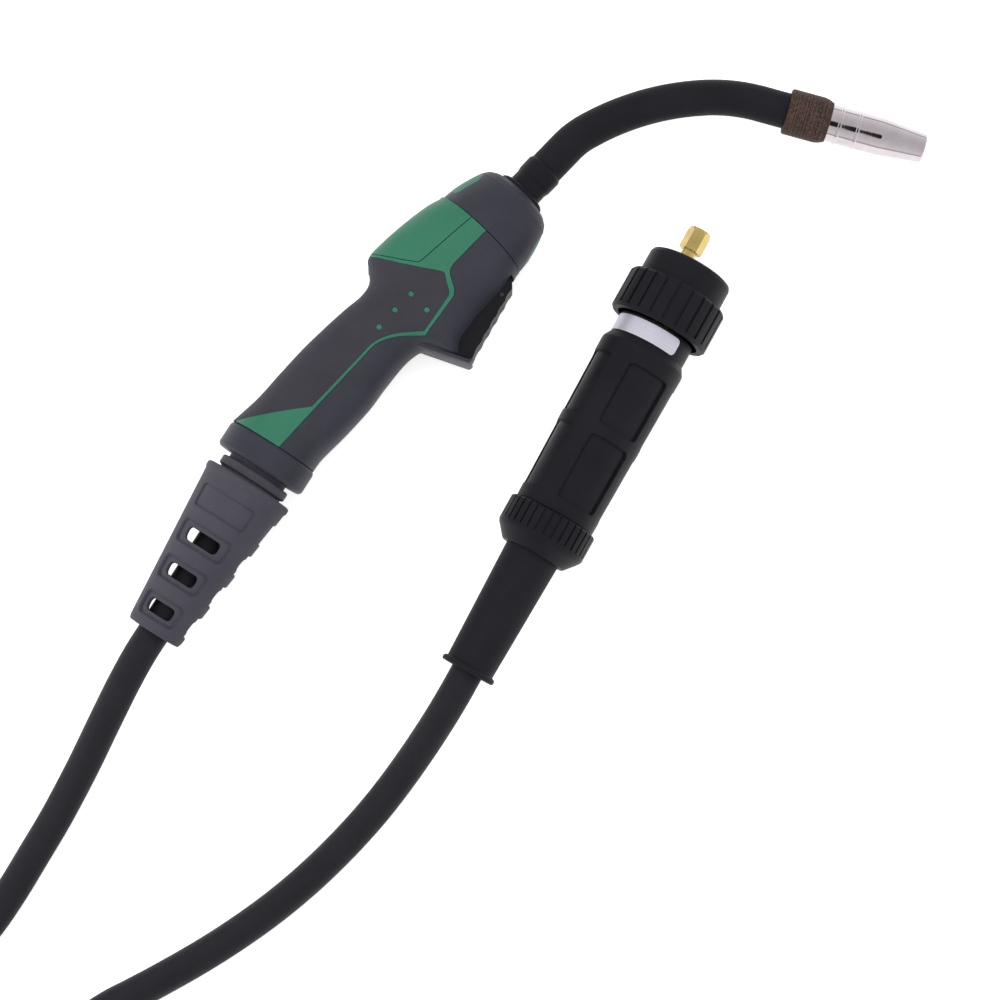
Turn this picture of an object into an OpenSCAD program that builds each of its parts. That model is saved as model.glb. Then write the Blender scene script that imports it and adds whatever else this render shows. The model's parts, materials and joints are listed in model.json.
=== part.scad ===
// MIG welding torch with its cable and central plug, lying on its side.
// +X runs from the handle along the neck's swivel axis, +Y to the hood's side and +Z up.
// The handle's mould parts at its side faces, so its profile is drawn in the XY plane.

/* [Handle] */
// Radius of the nose at the swivel's face
nose_r = 26.7; // [24:0.1:29]
// Height of the hood over the swivel axis
hump_h = 33.3; // [30:0.1:36]
// Height of the grip over the swivel axis
grip_h = 24.6; // [22:0.1:26]
// Depth of the grip under the swivel axis
grip_drop = 21.1; // [19:0.1:24]
// Half the width of the grip
grip_half = 19.6; // [17:0.1:22]
// Length of the head, from the nose's face to the root of the guard
head_l = 58; // [56:0.5:62]
// Length of the grip, from the root of the guard to the rear ring
grip_l = 92.6; // [80:0.2:120]
// Wall of the two shells
shell_wall = 2.6; // [2:0.1:3]
// Thickness of the soft cover
cover_t = 1.6; // [1:0.1:1.8]
// Width of the coloured trim line
trim_w = 1.6; // [1.2:0.1:2.4]
// Downward tilt of the rear ring and the boot
tail_tilt = 11.25; // [0:0.25:15]

/* [Trigger] */
// Distance of the trigger's pin behind the nose's face
pivot_back = 16.9; // [16:0.1:18]
// Depth of the trigger's pin under the swivel axis
pivot_drop = 29.7; // [29.2:0.1:30.2]
// Width of the trigger
trigger_w = 19; // [17:0.2:21]
// Diameter of the trigger's pin
pin_d = 2; // [1.6:0.1:2.2]
// Depth of the guard's tip under the swivel axis
guard_drop = 42.3; // [41.8:0.1:45]

/* [Neck] */
// Outer diameter of the rubber sleeve
sleeve_d = 18.2; // [17:0.1:19]
// Outer diameter of the conductor tube
tube_d = 12; // [11:0.1:13]
// Bore of the conductor tube
tube_bore = 6.4; // [6:0.1:7]
// Straight length from the nose's face to the first bend
neck_straight = 62.5; // [56:0.5:80]
// Straight length from the last bend to the nozzle's mouth
neck_end = 86.1; // [84:0.1:96]
// Diameter of the welding wire's bore
wire_bore = 1.2; // [0.8:0.1:1.8]

/* [Nozzle] */
// Diameter of the nozzle's barrel
nozzle_d = 19.1; // [18:0.1:20]
// Outer diameter of the nozzle's mouth
mouth_d = 14.6; // [13.6:0.1:16]
// Length of nozzle in front of the insulator
nozzle_l = 49.8; // [46:0.1:52]
// Wall of the nozzle
nozzle_wall = 1.5; // [1:0.1:1.6]
// Outer diameter of the fibre insulator
insulator_d = 23.4; // [22.6:0.1:25]
// Length of the fibre insulator
insulator_l = 22.4; // [20:0.1:24]

/* [Boot] */
// Radius of the rear ring
ring_r = 24.3; // [23.6:0.1:25]
// Length of the rear ring
ring_l = 13.5; // [11:0.1:16]
// Radius of the boot's rim
boot_rim_r = 23.6; // [22.6:0.1:24.4]
// Radius of the boot's tail
boot_tail_r = 14.5; // [13:0.1:16]
// Length of the boot behind its flange
boot_l = 87.5; // [84:0.5:100]
// Number of window columns round the boot
window_columns = 3; // [2:1:4]

/* [Cable] */
// Diameter of the cable
cable_d = 16.4; // [15:0.1:16.8]
// Diameter of the coil across the middle of its turns
coil_d = 180; // [170:1:200]
// Width of each cable tie
tie_w = 16; // [10:1:25]

/* [Plug] */
// Outer diameter of the ribbed lock nut
lock_nut_d = 52.9; // [50:0.1:53.4]
// Thread diameter inside the lock nut
lock_thread_d = 31; // [30:0.1:32]
// Diameter of the plug's rear clamp nut
clamp_nut_d = 46.9; // [45.8:0.1:48]
// Diameter of the housing at its rear
housing_rear_d = 42.6; // [41:0.1:43]
// Diameter of the housing at its front
housing_front_d = 45.4; // [44:0.1:45.8]
// Length of the housing
housing_l = 95.7; // [92:0.1:110]
// Diameter of the plug's spigot
spigot_d = 10; // [9:0.1:11]
// Length of the spigot's plain part
spigot_l = 19.5; // [18:0.5:24]
// Distance of the spigot from the plug's axis
spigot_offset = 5; // [4.5:0.1:6]
// Size across the flats of the liner's nut
liner_nut_af = 10.7; // [10:0.1:12]
// Diameter of the two contact pins
contact_d = 4; // [3:0.1:4.4]

/* [Clearances] */
// Clearance between a turning piece and what carries it
clearance = 0.3; // [0.3:0.05:0.5]
// Radial clearance of the trigger's pin
pin_fit = 0.05; // [0.02:0.01:0.1]

/* [Hidden] */
$fn = 48;

big = 200;
step = 0.04;
lap = 0.6;
sides = 28;

// The swivel axis at the nose's face, over the middle of the torch's footprint
swivel_at = [34.2, 51, nose_r];
// The middle of the rear ring's front face, seen from the swivel axis
ring_at = [-head_l - grip_l, 1.2];
// The plug's tail and the direction of its axis, seen from the swivel axis
plug_at = [-165.4, -146.6];
plug_turn = 14.4;

function mix(a, b, t) = a + (b - a) * t;
function head_x(share) = -head_l * share;
function grip_x(share) = -head_l - grip_l * share;
function hump_y(share) = mix(nose_r, hump_h, share);

// Handle sections: place along X, top, bottom, half width and squareness
belly = 29.6;
nose_at = -1.4;
waist_y = grip_h - 2.6;
throat_y = grip_drop - 2.6;
stations = [
    [nose_at, hump_y(0.08), -nose_r, nose_r - 0.2, 2.05],
    [head_x(0.155), hump_y(0.45), -belly + 1.2, nose_r - 0.5, 2.15],
    [head_x(0.33), hump_y(0.7), -belly, nose_r - 1.3, 2.3],
    [head_x(0.52), hump_y(0.88), -belly + 0.2, nose_r - 2.5, 2.45],
    [head_x(0.69), hump_y(0.98), -belly - 1, nose_r - 3.7, 2.5],
    [head_x(0.79), hump_h, -belly - 1.8, nose_r - 4.4, 2.5],
    [head_x(0.86), hump_h - 1, -belly - 3.7, nose_r - 4.9, 2.45],
    [head_x(0.93), mix(waist_y, hump_h, 0.5), -belly - 6.9, nose_r - 5.4, 2.4],
    [head_x(1), mix(waist_y, hump_h, 0.14), -belly - 0.9, grip_half + 1.2, 2.35],
    [grip_x(0.04), waist_y + 0.3, -throat_y - 3.8, grip_half + 0.6, 2.3],
    [grip_x(0.09), waist_y, -throat_y - 0.1, grip_half + 0.3, 2.3],
    [grip_x(0.18), waist_y + 1, -throat_y + 0.9, grip_half, 2.3],
    [grip_x(0.35), grip_h - 0.5, -grip_drop + 2.2, grip_half, 2.3],
    [grip_x(0.51), grip_h, -grip_drop + 0.4, grip_half + 0.6, 2.3],
    [grip_x(0.69), grip_h - 0.4, -grip_drop, mix(grip_half, ring_r, 0.33), 2.25],
    [grip_x(0.86), grip_h - 1, -grip_drop + 0.4, mix(grip_half, ring_r, 0.58), 2.15],
    [grip_x(0.97), ring_at[1] + ring_r - 1.3, ring_at[1] - ring_r + 1, ring_r - 1, 2.05],
    [grip_x(1.08), ring_at[1] + ring_r - 0.5, ring_at[1] - ring_r - 1.6, ring_r + 0.5, 2]
];

// Side view of the mould's parting and colour lines, seen from the swivel axis
ring_slope = sin(tail_tilt) / cos(tail_tilt);
function ring_x(y) = ring_at[0] - (y - ring_at[1]) * ring_slope;
trim_low = [head_x(1.02), -17.7];
trim_flat = [grip_x(0.26), -2.6];

// The lines' sweep from the throat up to the grip's middle
function trim_sweep(low, flat) = [for (k = [0:6])
    [mix(low[0], flat[0], k / 6), mix(flat[1], low[1], pow(1 - k / 6, 1.8))]];

parting_line = concat(
    [[5, -4.4], [head_x(0.425), -3.8], [head_x(0.5), -6.2], [head_x(0.587), -13.9],
        [head_x(0.96), -17.2]],
    trim_sweep(trim_low, trim_flat),
    [[grip_x(0.67), -3.5], [ring_x(-4.5), -4.5]]);
function cover_line(past) = concat(
    [[head_x(0.83), 40], [head_x(0.83), 30.4], [head_x(0.72), 16.2], [head_x(0.526), -2.4],
        [head_x(0.565), -6.6], [head_x(0.62), -12.2], [head_x(0.95), -15.4]],
    trim_sweep(trim_low + [0.9, 0.5 + trim_w], trim_flat + [0, trim_w - 0.3]),
    [[grip_x(0.71), trim_w - 3.5], [ring_x(22.3), 22.3], [ring_x(22.8) - past, 22.8],
        [ring_x(40) - past, 40]]);
hood_line = [[5, 5], [head_x(0.59), 9], [head_x(0.62), 10.2], [head_x(0.7), 17.5],
    [head_x(0.81), 30.7], [head_x(0.81), 40], [5, 40]];

// Trigger's side view, seen from the swivel axis
pivot = [-pivot_back, -pivot_drop];
trigger_front = pivot + [6, -1.5];
trigger_back = pivot + [-30.6, -10.5];
trigger_slope = atan2(trigger_front[1] - trigger_back[1], trigger_front[0] - trigger_back[0]);
guard_root = [head_x(1.107), -18.4];
guard_ahead = [0.409, -0.913];
guard_side = [0.913, 0.409];
guard_t = 1.9;
guard_l = (guard_drop + guard_root[1]) / -guard_ahead[1];
well_front = pivot[0] + 10.6;
switch_at = [pivot[0] - 16.6, -20.6];
switch_size = [20, 10.2, 6.6];
button_x = pivot[0] - 14.6;
button_d = 3;
pad_gap = 0.3;
button_out = 3;
pad_y = switch_at[1] - button_out - pad_gap;
spring_turns = 3;
spring_wire = 0.4;
spring_coil_r = pin_d / 2 + 0.25 + spring_wire;

// Neck: radius and angle of each bend, one after the other
neck_bends = [[42, 16], [133, 28], [87, 18.3]];
hub_r = 9;
bush_r = 14;
hub_back = -24;
hub_front = 29;
collar_l = 27.4;
collar_turn = 14;
seal_l = 2.2;
neck_collar_l = 16.8;
nozzle_at = neck_end - nozzle_l;
insulator_at = nozzle_at - insulator_l;
nozzle_hidden = 12;
taper_l = 23;
holder_at = insulator_at + 6;
holder_l = 32;
holder_r = 5.6;
tip_r = 4;
tip_sunk = 2;
tip_l = 40;

// Boot, as distances behind the rear ring's front face
flange_at = ring_l + 3.3;
flange_l = 3;
boot_at = flange_at + flange_l + 2.6;
tail_at = boot_at + boot_l;
hub_neck_r = 16;
hub_lip_r = 17.6;
window_pitch = 19.7;
window_first = 11.8;
window_l = 6.5;
window_widths = [13, 15.5, 18];
window_turn = 6.5;
panel_at = 72.5;
panel_size = [31, 12];

// Plug, as distances from its tail
sleeve_l = 67;
clamp_l = 21.8;
housing_at = sleeve_l + clamp_l;
label_at = housing_at + housing_l + 0.7;
label_l = 9.9;
nut_at = housing_at + housing_l + 11.9;
rib_l = 22.4;
skirt_l = 14.4;
web_at = nut_at + 9;
web_l = 6;
core_r = 13;
flange_r = lock_thread_d / 2 - 0.4;
core_front = web_at + web_l + 9;
liner_nut_l = 11.9;
contact_out = 9;
contact_drop = 6.5;
contact_half = 6;
seal_at = 11.8;

// Cable route, seen from the swivel axis in X and Y, with Z over the floor
coil_at = [-586, -144];
coil_lift = 1.4;
coil_half = cable_d;
low_turn = coil_lift + cable_d / 2;
high_turn = low_turn + cable_d;
straight_out = 12;
torch_route = [[-285, -26.3, 25], [-299, -30.1, 21.2], [-314, -34.3, 16.6], [-330, -38.9, 12.1],
    [-346, -43.3, 9.3], [-362, -47.6, 8.3], [-380, -51.8, 8.2], [-400, -56.4, 8.2],
    [-420, -59.8, 8.2], [-440, -60.9, 8.2], [-460, -59.2, 8.2], [-480, -56.8, 8.2],
    [-500, -54.4, 8.2], [-520, -52.2, 8.4], [-540, -50.1, 8.8], [-560, -48, 9.3]];
plug_route = [[-190, -152.4, 22.4], [-204, -154.9, 16.2], [-218, -157, 11], [-233, -158.9, 8.6],
    [-250, -160.3, 8.2], [-270, -160.7, 8.2], [-292, -159.8, 8.2], [-315, -157.2, 8.2],
    [-338, -152.8, 8.2], [-360, -147.2, 8.2], [-382, -140.4, 8.2], [-396, -135.6, 8.4],
    [-408.2, -131.4, 9], [-425, -128, 11], [-442.3, -129, 14.6], [-458.6, -134.5, 18.6],
    [-473, -144, 22.2], [-484.4, -156.9, 24.9], [-492, -172, 26]];

colour_shell = [0.24, 0.25, 0.29];
colour_green = [0.25, 0.5, 0.4];
colour_cover = [0.26, 0.26, 0.29];
colour_black = [0.13, 0.13, 0.15];
colour_boot = [0.3, 0.3, 0.33];
colour_brass = [0.72, 0.63, 0.36];
colour_steel = [0.75, 0.75, 0.77];
colour_fibre = [0.38, 0.31, 0.27];

// ---- helpers ----

// One closed ring of a handle section, drawn inwards by inset
function section(s, inset, shift) = let (
    middle = (s[1] + s[2]) / 2,
    half_y = (s[1] - s[2]) / 2 - inset,
    half_z = s[3] - inset)
    [for (k = [0:sides - 1]) let (
        a = -360 * (k + 0.5) / sides,
        c = cos(a),
        d = sin(a))
        [s[0] + shift, middle + half_y * sign(c) * pow(abs(c), 2 / s[4]),
            half_z * sign(d) * pow(abs(d), 2 / s[4])]];

function loft_faces(rings, m) = concat(
    [[for (j = [0:m - 1]) j]],
    [for (i = [0:rings - 2], j = [0:m - 1]) let (
        a = i * m + j,
        b = i * m + (j + 1) % m)
        each [[a, a + m, b + m], [a, b + m, b]]],
    [[for (j = [m - 1:-1:0]) (rings - 1) * m + j]]);

function unit(v) = v / norm(v);

// Rings square to a route of points, for a tube of radius r
function tube_rings(points, r, m) = [for (i = [0:len(points) - 1]) let (
    before = points[max(i - 1, 0)],
    after = points[min(i + 1, len(points) - 1)],
    ahead = unit(after - before),
    side = unit(cross([0, 0, 1], ahead)),
    up = cross(ahead, side))
    each [for (k = [0:m - 1]) let (a = 360 * k / m)
        points[i] + r * (cos(a) * side + sin(a) * up)]];

module tube(points, r, m = 10) {
    polyhedron(tube_rings(points, r, m), loft_faces(len(points), m));
}

module at_swivel() {
    translate(swivel_at) children();
}

// Turns what stands on Z to lie along X
module along_x(x = 0) {
    translate([x, 0, 0]) rotate([0, 90, 0]) children();
}

// Z runs backwards along the tilted axis of the ring and boot
module at_ring(t = 0) {
    at_swivel() translate([ring_at[0], ring_at[1], 0]) rotate([0, 0, tail_tilt])
        rotate([0, -90, 0]) translate([0, 0, t]) children();
}

// Z runs along the plug's axis, from its tail to its front
module at_plug(t = 0) {
    at_swivel() translate([plug_at[0], plug_at[1], 0]) rotate([0, 0, plug_turn])
        rotate([0, 90, 0]) translate([0, 0, t]) children();
}

// The frame after the neck's bends, from bend i on
module after_bends(i = 0) {
    if (i < len(neck_bends)) {
        r = neck_bends[i][0];
        a = neck_bends[i][1];
        translate([r * sin(a), -r * (1 - cos(a)), 0]) rotate([0, 0, -a])
            after_bends(i + 1) children();
    } else {
        children();
    }
}

// Z runs along the neck's straight end, towards the nozzle's mouth
module at_neck_end(s = 0) {
    at_swivel() translate([neck_straight, 0, 0]) after_bends() along_x(s) children();
}

// Sweeps a round wall round the neck's bends, from bend i on. Every other bend is a hair
// thinner, and the thicker ones reach into it, so that no two walls run flush.
module swept_bends(r, bore, i = 0) {
    if (i < len(neck_bends)) {
        bend = neck_bends[i][0];
        a = neck_bends[i][1];
        thin = i % 2 == 0 ? step : 0;
        over = i % 2 == 0 ? 0 : 0.3;
        translate([0, -bend, 0]) rotate([0, 0, 90 - a - over])
            rotate_extrude(angle = a + 2 * over) translate([bend, 0]) ring_2d(r - thin, bore + thin);
        translate([bend * sin(a), -bend * (1 - cos(a)), 0]) rotate([0, 0, -a])
            swept_bends(r, bore, i + 1);
    }
}

// A round wall along the whole neck, from x = start to s = stop on its straight end
module neck_run(r, bore, start, stop) {
    at_swivel() along_x(start) ring(r, bore, neck_straight + lap - start);
    at_swivel() translate([neck_straight, 0, 0]) swept_bends(r, bore);
    at_neck_end(-lap) ring(r, bore, stop + lap);
}

module ring_2d(r, bore) {
    difference() {
        circle(r);
        circle(bore);
    }
}

module ring(r, bore, h) {
    linear_extrude(h) ring_2d(r, bore);
}

module rounded_rect(size, r) {
    square([size[0] - 2 * r, size[1]], center = true);
    square([size[0], size[1] - 2 * r], center = true);
    for (x = [-1, 1], y = [-1, 1])
        translate([x * (size[0] / 2 - r), y * (size[1] / 2 - r)]) circle(r);
}

// ---- handle ----

module handle_form(inset = 0, front = 0) {
    rings = [for (i = [0:len(stations) - 1])
        section(stations[i], inset, i == 0 ? -front : inset > 0 && i == len(stations) - 1 ? -4 : 0)];
    polyhedron([for (r = rings) each r], loft_faces(len(rings), sides));
}

module side_slab(outline) {
    translate([0, 0, -big / 2]) linear_extrude(big) polygon(outline);
}

module lower_half() {
    side_slab(concat(parting_line, [[ring_x(-60), -60], [1, -60]]));
}

module upper_half() {
    side_slab(concat(parting_line, [[ring_x(60), 60], [1, 60]]));
}

module soft_region(past = 0) {
    side_slab(cover_line(past));
}

module bush_seat() {
    along_x(-50) cylinder(r = bush_r, h = 60);
}

dot_places = [[head_x(0.853), 1.4], [grip_x(0.028), 1.9], [grip_x(0.153), 1.8],
    [head_x(0.859), -9.7]];
dot_r = 1.35;
dot_deep = 3;
dot_out = [nose_r - 4.9, grip_half + 0.7, grip_half + 0.1, nose_r - 5.6];

module dot_holes(from = 0, more = 10) {
    for (i = [0:len(dot_places) - 1], side = [-1, 1])
        translate([dot_places[i][0], dot_places[i][1], 0]) mirror([0, 0, side < 0 ? 1 : 0])
            translate([0, 0, dot_out[i] - dot_deep + from])
                cylinder(r = dot_r, h = dot_deep - from + more);
}

function guard_in(along) = guard_root + along * guard_ahead + guard_t * guard_side;

module trigger_well() {
    gap = trigger_w / 2 + 0.4;
    top = switch_at[1] - 0.4;
    translate([0, 0, -gap]) linear_extrude(2 * gap)
        polygon([[well_front, -80], [well_front, top], [head_x(0.91), top], guard_in(11),
            guard_in(guard_l + 1), guard_in(guard_l + 1) + [0, -30]]);
}

module guard() {
    half = trigger_w / 2 + 2.2;
    root = guard_root - 2 * guard_ahead;
    tip = guard_root + guard_l * guard_ahead;
    intersection() {
        side_slab([root, tip - 0.8 * guard_ahead, tip + 0.7 * guard_side, guard_in(guard_l + 0.6),
            guard_in(guard_l + 0.6) + 0.6 * guard_side, guard_in(guard_l - 2),
            guard_in(10), guard_in(4) + 4 * guard_side]);
        translate([guard_root[0], guard_root[1], 0]) rotate([0, 0, 24]) rotate([90, 0, 0])
            translate([0, 0, -30]) linear_extrude(90) polygon([[-30, half - 5], [-4, half - 0.4],
                [3, half], [30, half], [30, -half], [3, -half], [-4, 0.4 - half], [-30, 5 - half]]);
    }
}

module switch_ribs() {
    rib = 2;
    back = switch_at[0] - switch_size[0] / 2 - 0.1 - rib;
    front = switch_at[0] + switch_size[0] / 2 + 0.1;
    difference() {
        for (x = [back, front])
            translate([x, switch_at[1], -big / 2]) cube([rib, switch_size[1], big]);
        translate([back - 1, switch_at[1] + 1.6, -2.2]) cube([rib + 2, switch_size[1], 4.4]);
    }
}

module trigger_lug() {
    lug_w = 5;
    floor_y = -bush_r - 2.3;
    translate([0, 0, -4]) linear_extrude(lug_w)
        polygon([pivot + [-2.8, -0.6], pivot + [1.2, -0.6], pivot + [2.8, 0.4], pivot + [3.6, 2], [pivot[0] + 5, floor_y],
            [pivot[0] - 6, floor_y], pivot + [-3.6, 2]]);
}

// The floor under the swivel bush, which carries the trigger's lug
module bush_floor() {
    floor_y = -bush_r - 2.3;
    back = switch_at[0] + switch_size[0] / 2 + 0.3;
    translate([back, floor_y - 2.2, -big / 2]) cube([-back, 2.2, big]);
}

module handle_lower_shell() {
    color(colour_shell) at_swivel() difference() {
        union() {
            difference() {
                union() {
                    intersection() {
                        handle_form();
                        lower_half();
                    }
                    guard();
                }
                handle_form(shell_wall, shell_wall);
                trigger_well();
            }
            trigger_lug();
            intersection() {
                handle_form(shell_wall / 2, shell_wall / 2);
                lower_half();
                union() {
                    bush_floor();
                    switch_ribs();
                }
            }
        }
        bush_seat();
        along_x(-47) cylinder(r = power_r + 0.1, h = 30);
        translate([pivot[0], pivot[1], -20]) cylinder(d = pin_d, h = 40);
    }
}

module handle_upper_shell() {
    color(colour_green) at_swivel() difference() {
        union() {
            difference() {
                intersection() {
                    handle_form();
                    upper_half();
                }
                handle_form(shell_wall + cover_t, shell_wall);
                side_slab(hood_line);
                difference() {
                    soft_region(4);
                    handle_form(cover_t, cover_t);
                }
            }
            hood_tab();
        }
        bush_seat();
        dot_holes();
        hood_screw_place() {
            translate([0, 0, -20]) cylinder(d = screw_d, h = 40);
            translate([0, 0, -0.4 - screw_head]) cylinder(r = 2.9, h = 6);
        }
    }
}

module grip_overmould() {
    color(colour_cover) at_swivel() difference() {
        intersection() {
            handle_form();
            soft_region();
        }
        handle_form(cover_t, cover_t);
        dot_holes();
        hood_tab();
    }
}

module hood_cover() {
    color(colour_green) at_swivel() difference() {
        intersection() {
            handle_form();
            side_slab(hood_line);
        }
        handle_form(shell_wall, shell_wall);
        bush_seat();
    }
}

screw_d = 3;
tab_slope = 46;
tab_r = 3.8;
screw_head = 1.3;

module hood_screw_place() {
    translate([head_x(0.902), mix(waist_y, hump_h, 0.72), 0]) rotate([0, 0, 180 - tab_slope])
        rotate([0, 90, 0]) children();
}

module hood_tab(deep = 5) {
    hood_screw_place() translate([0, 0, -deep]) cylinder(r = tab_r, h = deep - 0.3);
}

module hood_screw() {
    color(colour_steel) at_swivel() hood_screw_place() {
        translate([0, 0, -9]) cylinder(d = screw_d, h = 8);
        translate([0, 0, -0.4 - screw_head]) difference() {
            cylinder(r = 2.6, h = screw_head);
            translate([0, 0, 0.5]) cylinder(r = 1.4, h = 2, $fn = 6);
        }
    }
}

module accent_dots() {
    color(colour_green) at_swivel() dot_holes(0, 0);
}

// ---- swivel and neck ----

function collar_outline() = [[bush_r + clearance, nose_at + 0.4], [17, nose_at + 0.4], [17, 14], [19, 16],
    [nose_r - 5, 14], [nose_r - 2.6, 4], [nose_r - 2.6, nose_at + 0.4],
    [nose_r, nose_at + 0.4], [nose_r, 1], [nose_r - 0.5, 6.4], [nose_r - 1.7, 11.6],
    [nose_r - 3.2, 16.8], [nose_r - 5, 21.9], [nose_r - 7, 24.8], [nose_r - 9.6, 26.6],
    [nose_r - 12, collar_l], [bush_r + clearance, collar_l]];

module inlay_slab() {
    for (side = [0, 180])
        rotate([collar_turn + side, 0, 0]) translate([13, nose_r - 5.6, 0]) rotate([-90, 0, 0])
            linear_extrude(12) rounded_rect([19, 21.6], 3);
}

module lock_collar() {
    color(colour_shell) at_swivel() difference() {
        along_x() rotate_extrude() polygon(collar_outline());
        intersection() {
            inlay_slab();
            along_x() rotate_extrude() polygon(inlay_outline());
        }
    }
}

function inlay_outline() = [[nose_r - 1.4, 0], [40, 0], [40, 30], [nose_r - 6.4, 30],
    [nose_r - 6.4, 21.9], [nose_r - 3.1, 11.6]];

module collar_inlays() {
    color(colour_green) at_swivel() intersection() {
        inlay_slab();
        along_x() rotate_extrude() polygon(inlay_outline());
        along_x() rotate_extrude() polygon(collar_outline());
    }
}

module swivel_bush() {
    color(colour_black) at_swivel() along_x(-20) difference() {
        union() {
            cylinder(r = bush_r, h = 16 + collar_l);
            translate([0, 0, 3]) cylinder(r = bush_r + 2, h = 3);
        }
        translate([0, 0, -1]) cylinder(r = hub_r + clearance, h = 60);
    }
}

module neck_hub() {
    color(colour_brass) at_swivel() along_x(hub_back) difference() {
        union() {
            cylinder(r = hub_r, h = hub_front - hub_back);
            cylinder(r = hub_r + 1.4, h = 3);
        }
        translate([0, 0, -1]) cylinder(d = tube_bore, h = hub_front - hub_back + 2);
    }
}

module neck_seal() {
    color(colour_black) at_swivel() along_x(collar_l + clearance) rotate_extrude()
        polygon([[hub_r, 0], [hub_r, seal_l - 1], [hub_r, seal_l], [12, seal_l], [13.1, seal_l - 0.9], [13.1, 0]]);
}

module neck_collar() {
    front = collar_l + clearance + seal_l;
    r = sleeve_d / 2;
    color(colour_black) at_swivel() along_x(front) rotate_extrude()
        polygon([[tube_d / 2, 0], [r + 0.3, 0], [r + 0.2, 6], [r + 0.8, 8.4], [r + 0.9, neck_collar_l - 1.4],
            [r + 0.2, neck_collar_l], [tube_d / 2, neck_collar_l]]);
}

module neck_tube() {
    color(colour_steel) neck_run(tube_d / 2, tube_bore / 2, hub_front, holder_at + 6);
}

module neck_sleeve() {
    start = collar_l + clearance + seal_l + neck_collar_l;
    color(colour_black) neck_run(sleeve_d / 2, tube_d / 2 + 0.05, start, insulator_at + 4);
}

module wire_liner() {
    color(colour_steel)
        neck_run(tube_bore / 2 - 0.5, wire_bore / 2 + 0.6, hub_back + 1, holder_at + 6);
}

module insulator_sleeve() {
    r = insulator_d / 2;
    seat = sleeve_d / 2 + 0.1;
    room = nozzle_d / 2 + clearance;
    color(colour_fibre) at_neck_end(insulator_at) rotate_extrude()
        polygon([[seat, 0.8], [r - 0.9, 0], [r, 0.8], [r, insulator_l - 5], [r - 0.5, insulator_l - 2.6],
            [r - 1.3, insulator_l - 0.8], [room + 0.3, insulator_l], [room, insulator_l - 0.3],
            [room, insulator_l - nozzle_hidden - 1], [tube_d / 2, insulator_l - nozzle_hidden - 1],
            [tube_d / 2, 4], [seat, 4]]);
}

module tip_holder() {
    color(colour_brass) at_neck_end(holder_at + 6) difference() {
        union() {
            cylinder(r = tube_d / 2 + 1, h = 6);
            cylinder(r = holder_r, h = holder_l - 6);
        }
        translate([0, 0, -1]) cylinder(r = wire_bore / 2 + 1, h = holder_l + 4);
        translate([0, 0, holder_l - 15]) cylinder(r = tip_r - 1, h = 20);
        for (a = [0:60:300])
            rotate([0, 0, a]) translate([0, 0, 12]) rotate([0, 90, 0]) cylinder(r = 0.9, h = 20);
    }
}

module contact_tip() {
    back = neck_end - tip_sunk - tip_l;
    seat = holder_at + holder_l;
    color([0.72, 0.45, 0.3]) at_neck_end() difference() {
        union() {
            translate([0, 0, back + 2]) cylinder(r = tip_r - 1.05, h = seat - back);
            translate([0, 0, seat]) cylinder(r = tip_r, h = neck_end - tip_sunk - seat - 6);
            translate([0, 0, neck_end - tip_sunk - 6]) cylinder(r1 = tip_r, r2 = tip_r - 1.2, h = 6);
        }
        translate([0, 0, back]) cylinder(d = wire_bore, h = tip_l + 4);
    }
}

module nozzle_spring() {
    color(colour_steel) at_neck_end(holder_at + 15) for (k = [0:3])
        translate([0, 0, 1.7 * k]) rotate_extrude() translate([holder_r + 0.85, 0]) circle(0.85);
}

module gas_nozzle() {
    r = nozzle_d / 2;
    mouth = mouth_d / 2;
    back = -nozzle_hidden;
    taper = nozzle_l - taper_l;
    color(colour_steel) at_neck_end(nozzle_at) rotate_extrude()
        polygon([[r - nozzle_wall, back], [r - 0.4, back], [r, back + 0.5],
            [r, 4.4], [r + 0.15, 4.7], [r + 0.15, 5.5], [r, 5.8],
            [r, 13.6], [r + 0.15, 13.9], [r + 0.15, 14.7], [r, 15],
            [r, taper], [r - 0.35, taper + 4], [mouth + 0.05, nozzle_l - 0.7], [mouth - 0.5, nozzle_l],
            [mouth - nozzle_wall + 0.2, nozzle_l], [mouth - nozzle_wall, nozzle_l - 0.6],
            [r - nozzle_wall - 0.2, taper + 3], [r - nozzle_wall, taper]]);
}

// ---- trigger ----

power_r = 10;

module trigger_outline() {
    tail = guard_in(guard_l - 1) + [0.7, 0];
    polygon([pivot + [9.4, 2.4], pivot + [8.3, 0.9], trigger_front, trigger_back, tail + [1.1, -0.5], tail,
        guard_in(16.6) + [0.7, 0], guard_in(14.2) + [1.4, 0.4], [head_x(0.87), pad_y - 4.6],
        [button_x - 8, pad_y - 2], [button_x - 4, pad_y], [button_x + 4, pad_y], pivot + [-3, 4], pivot + [2, 4.3]]);
}

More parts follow.
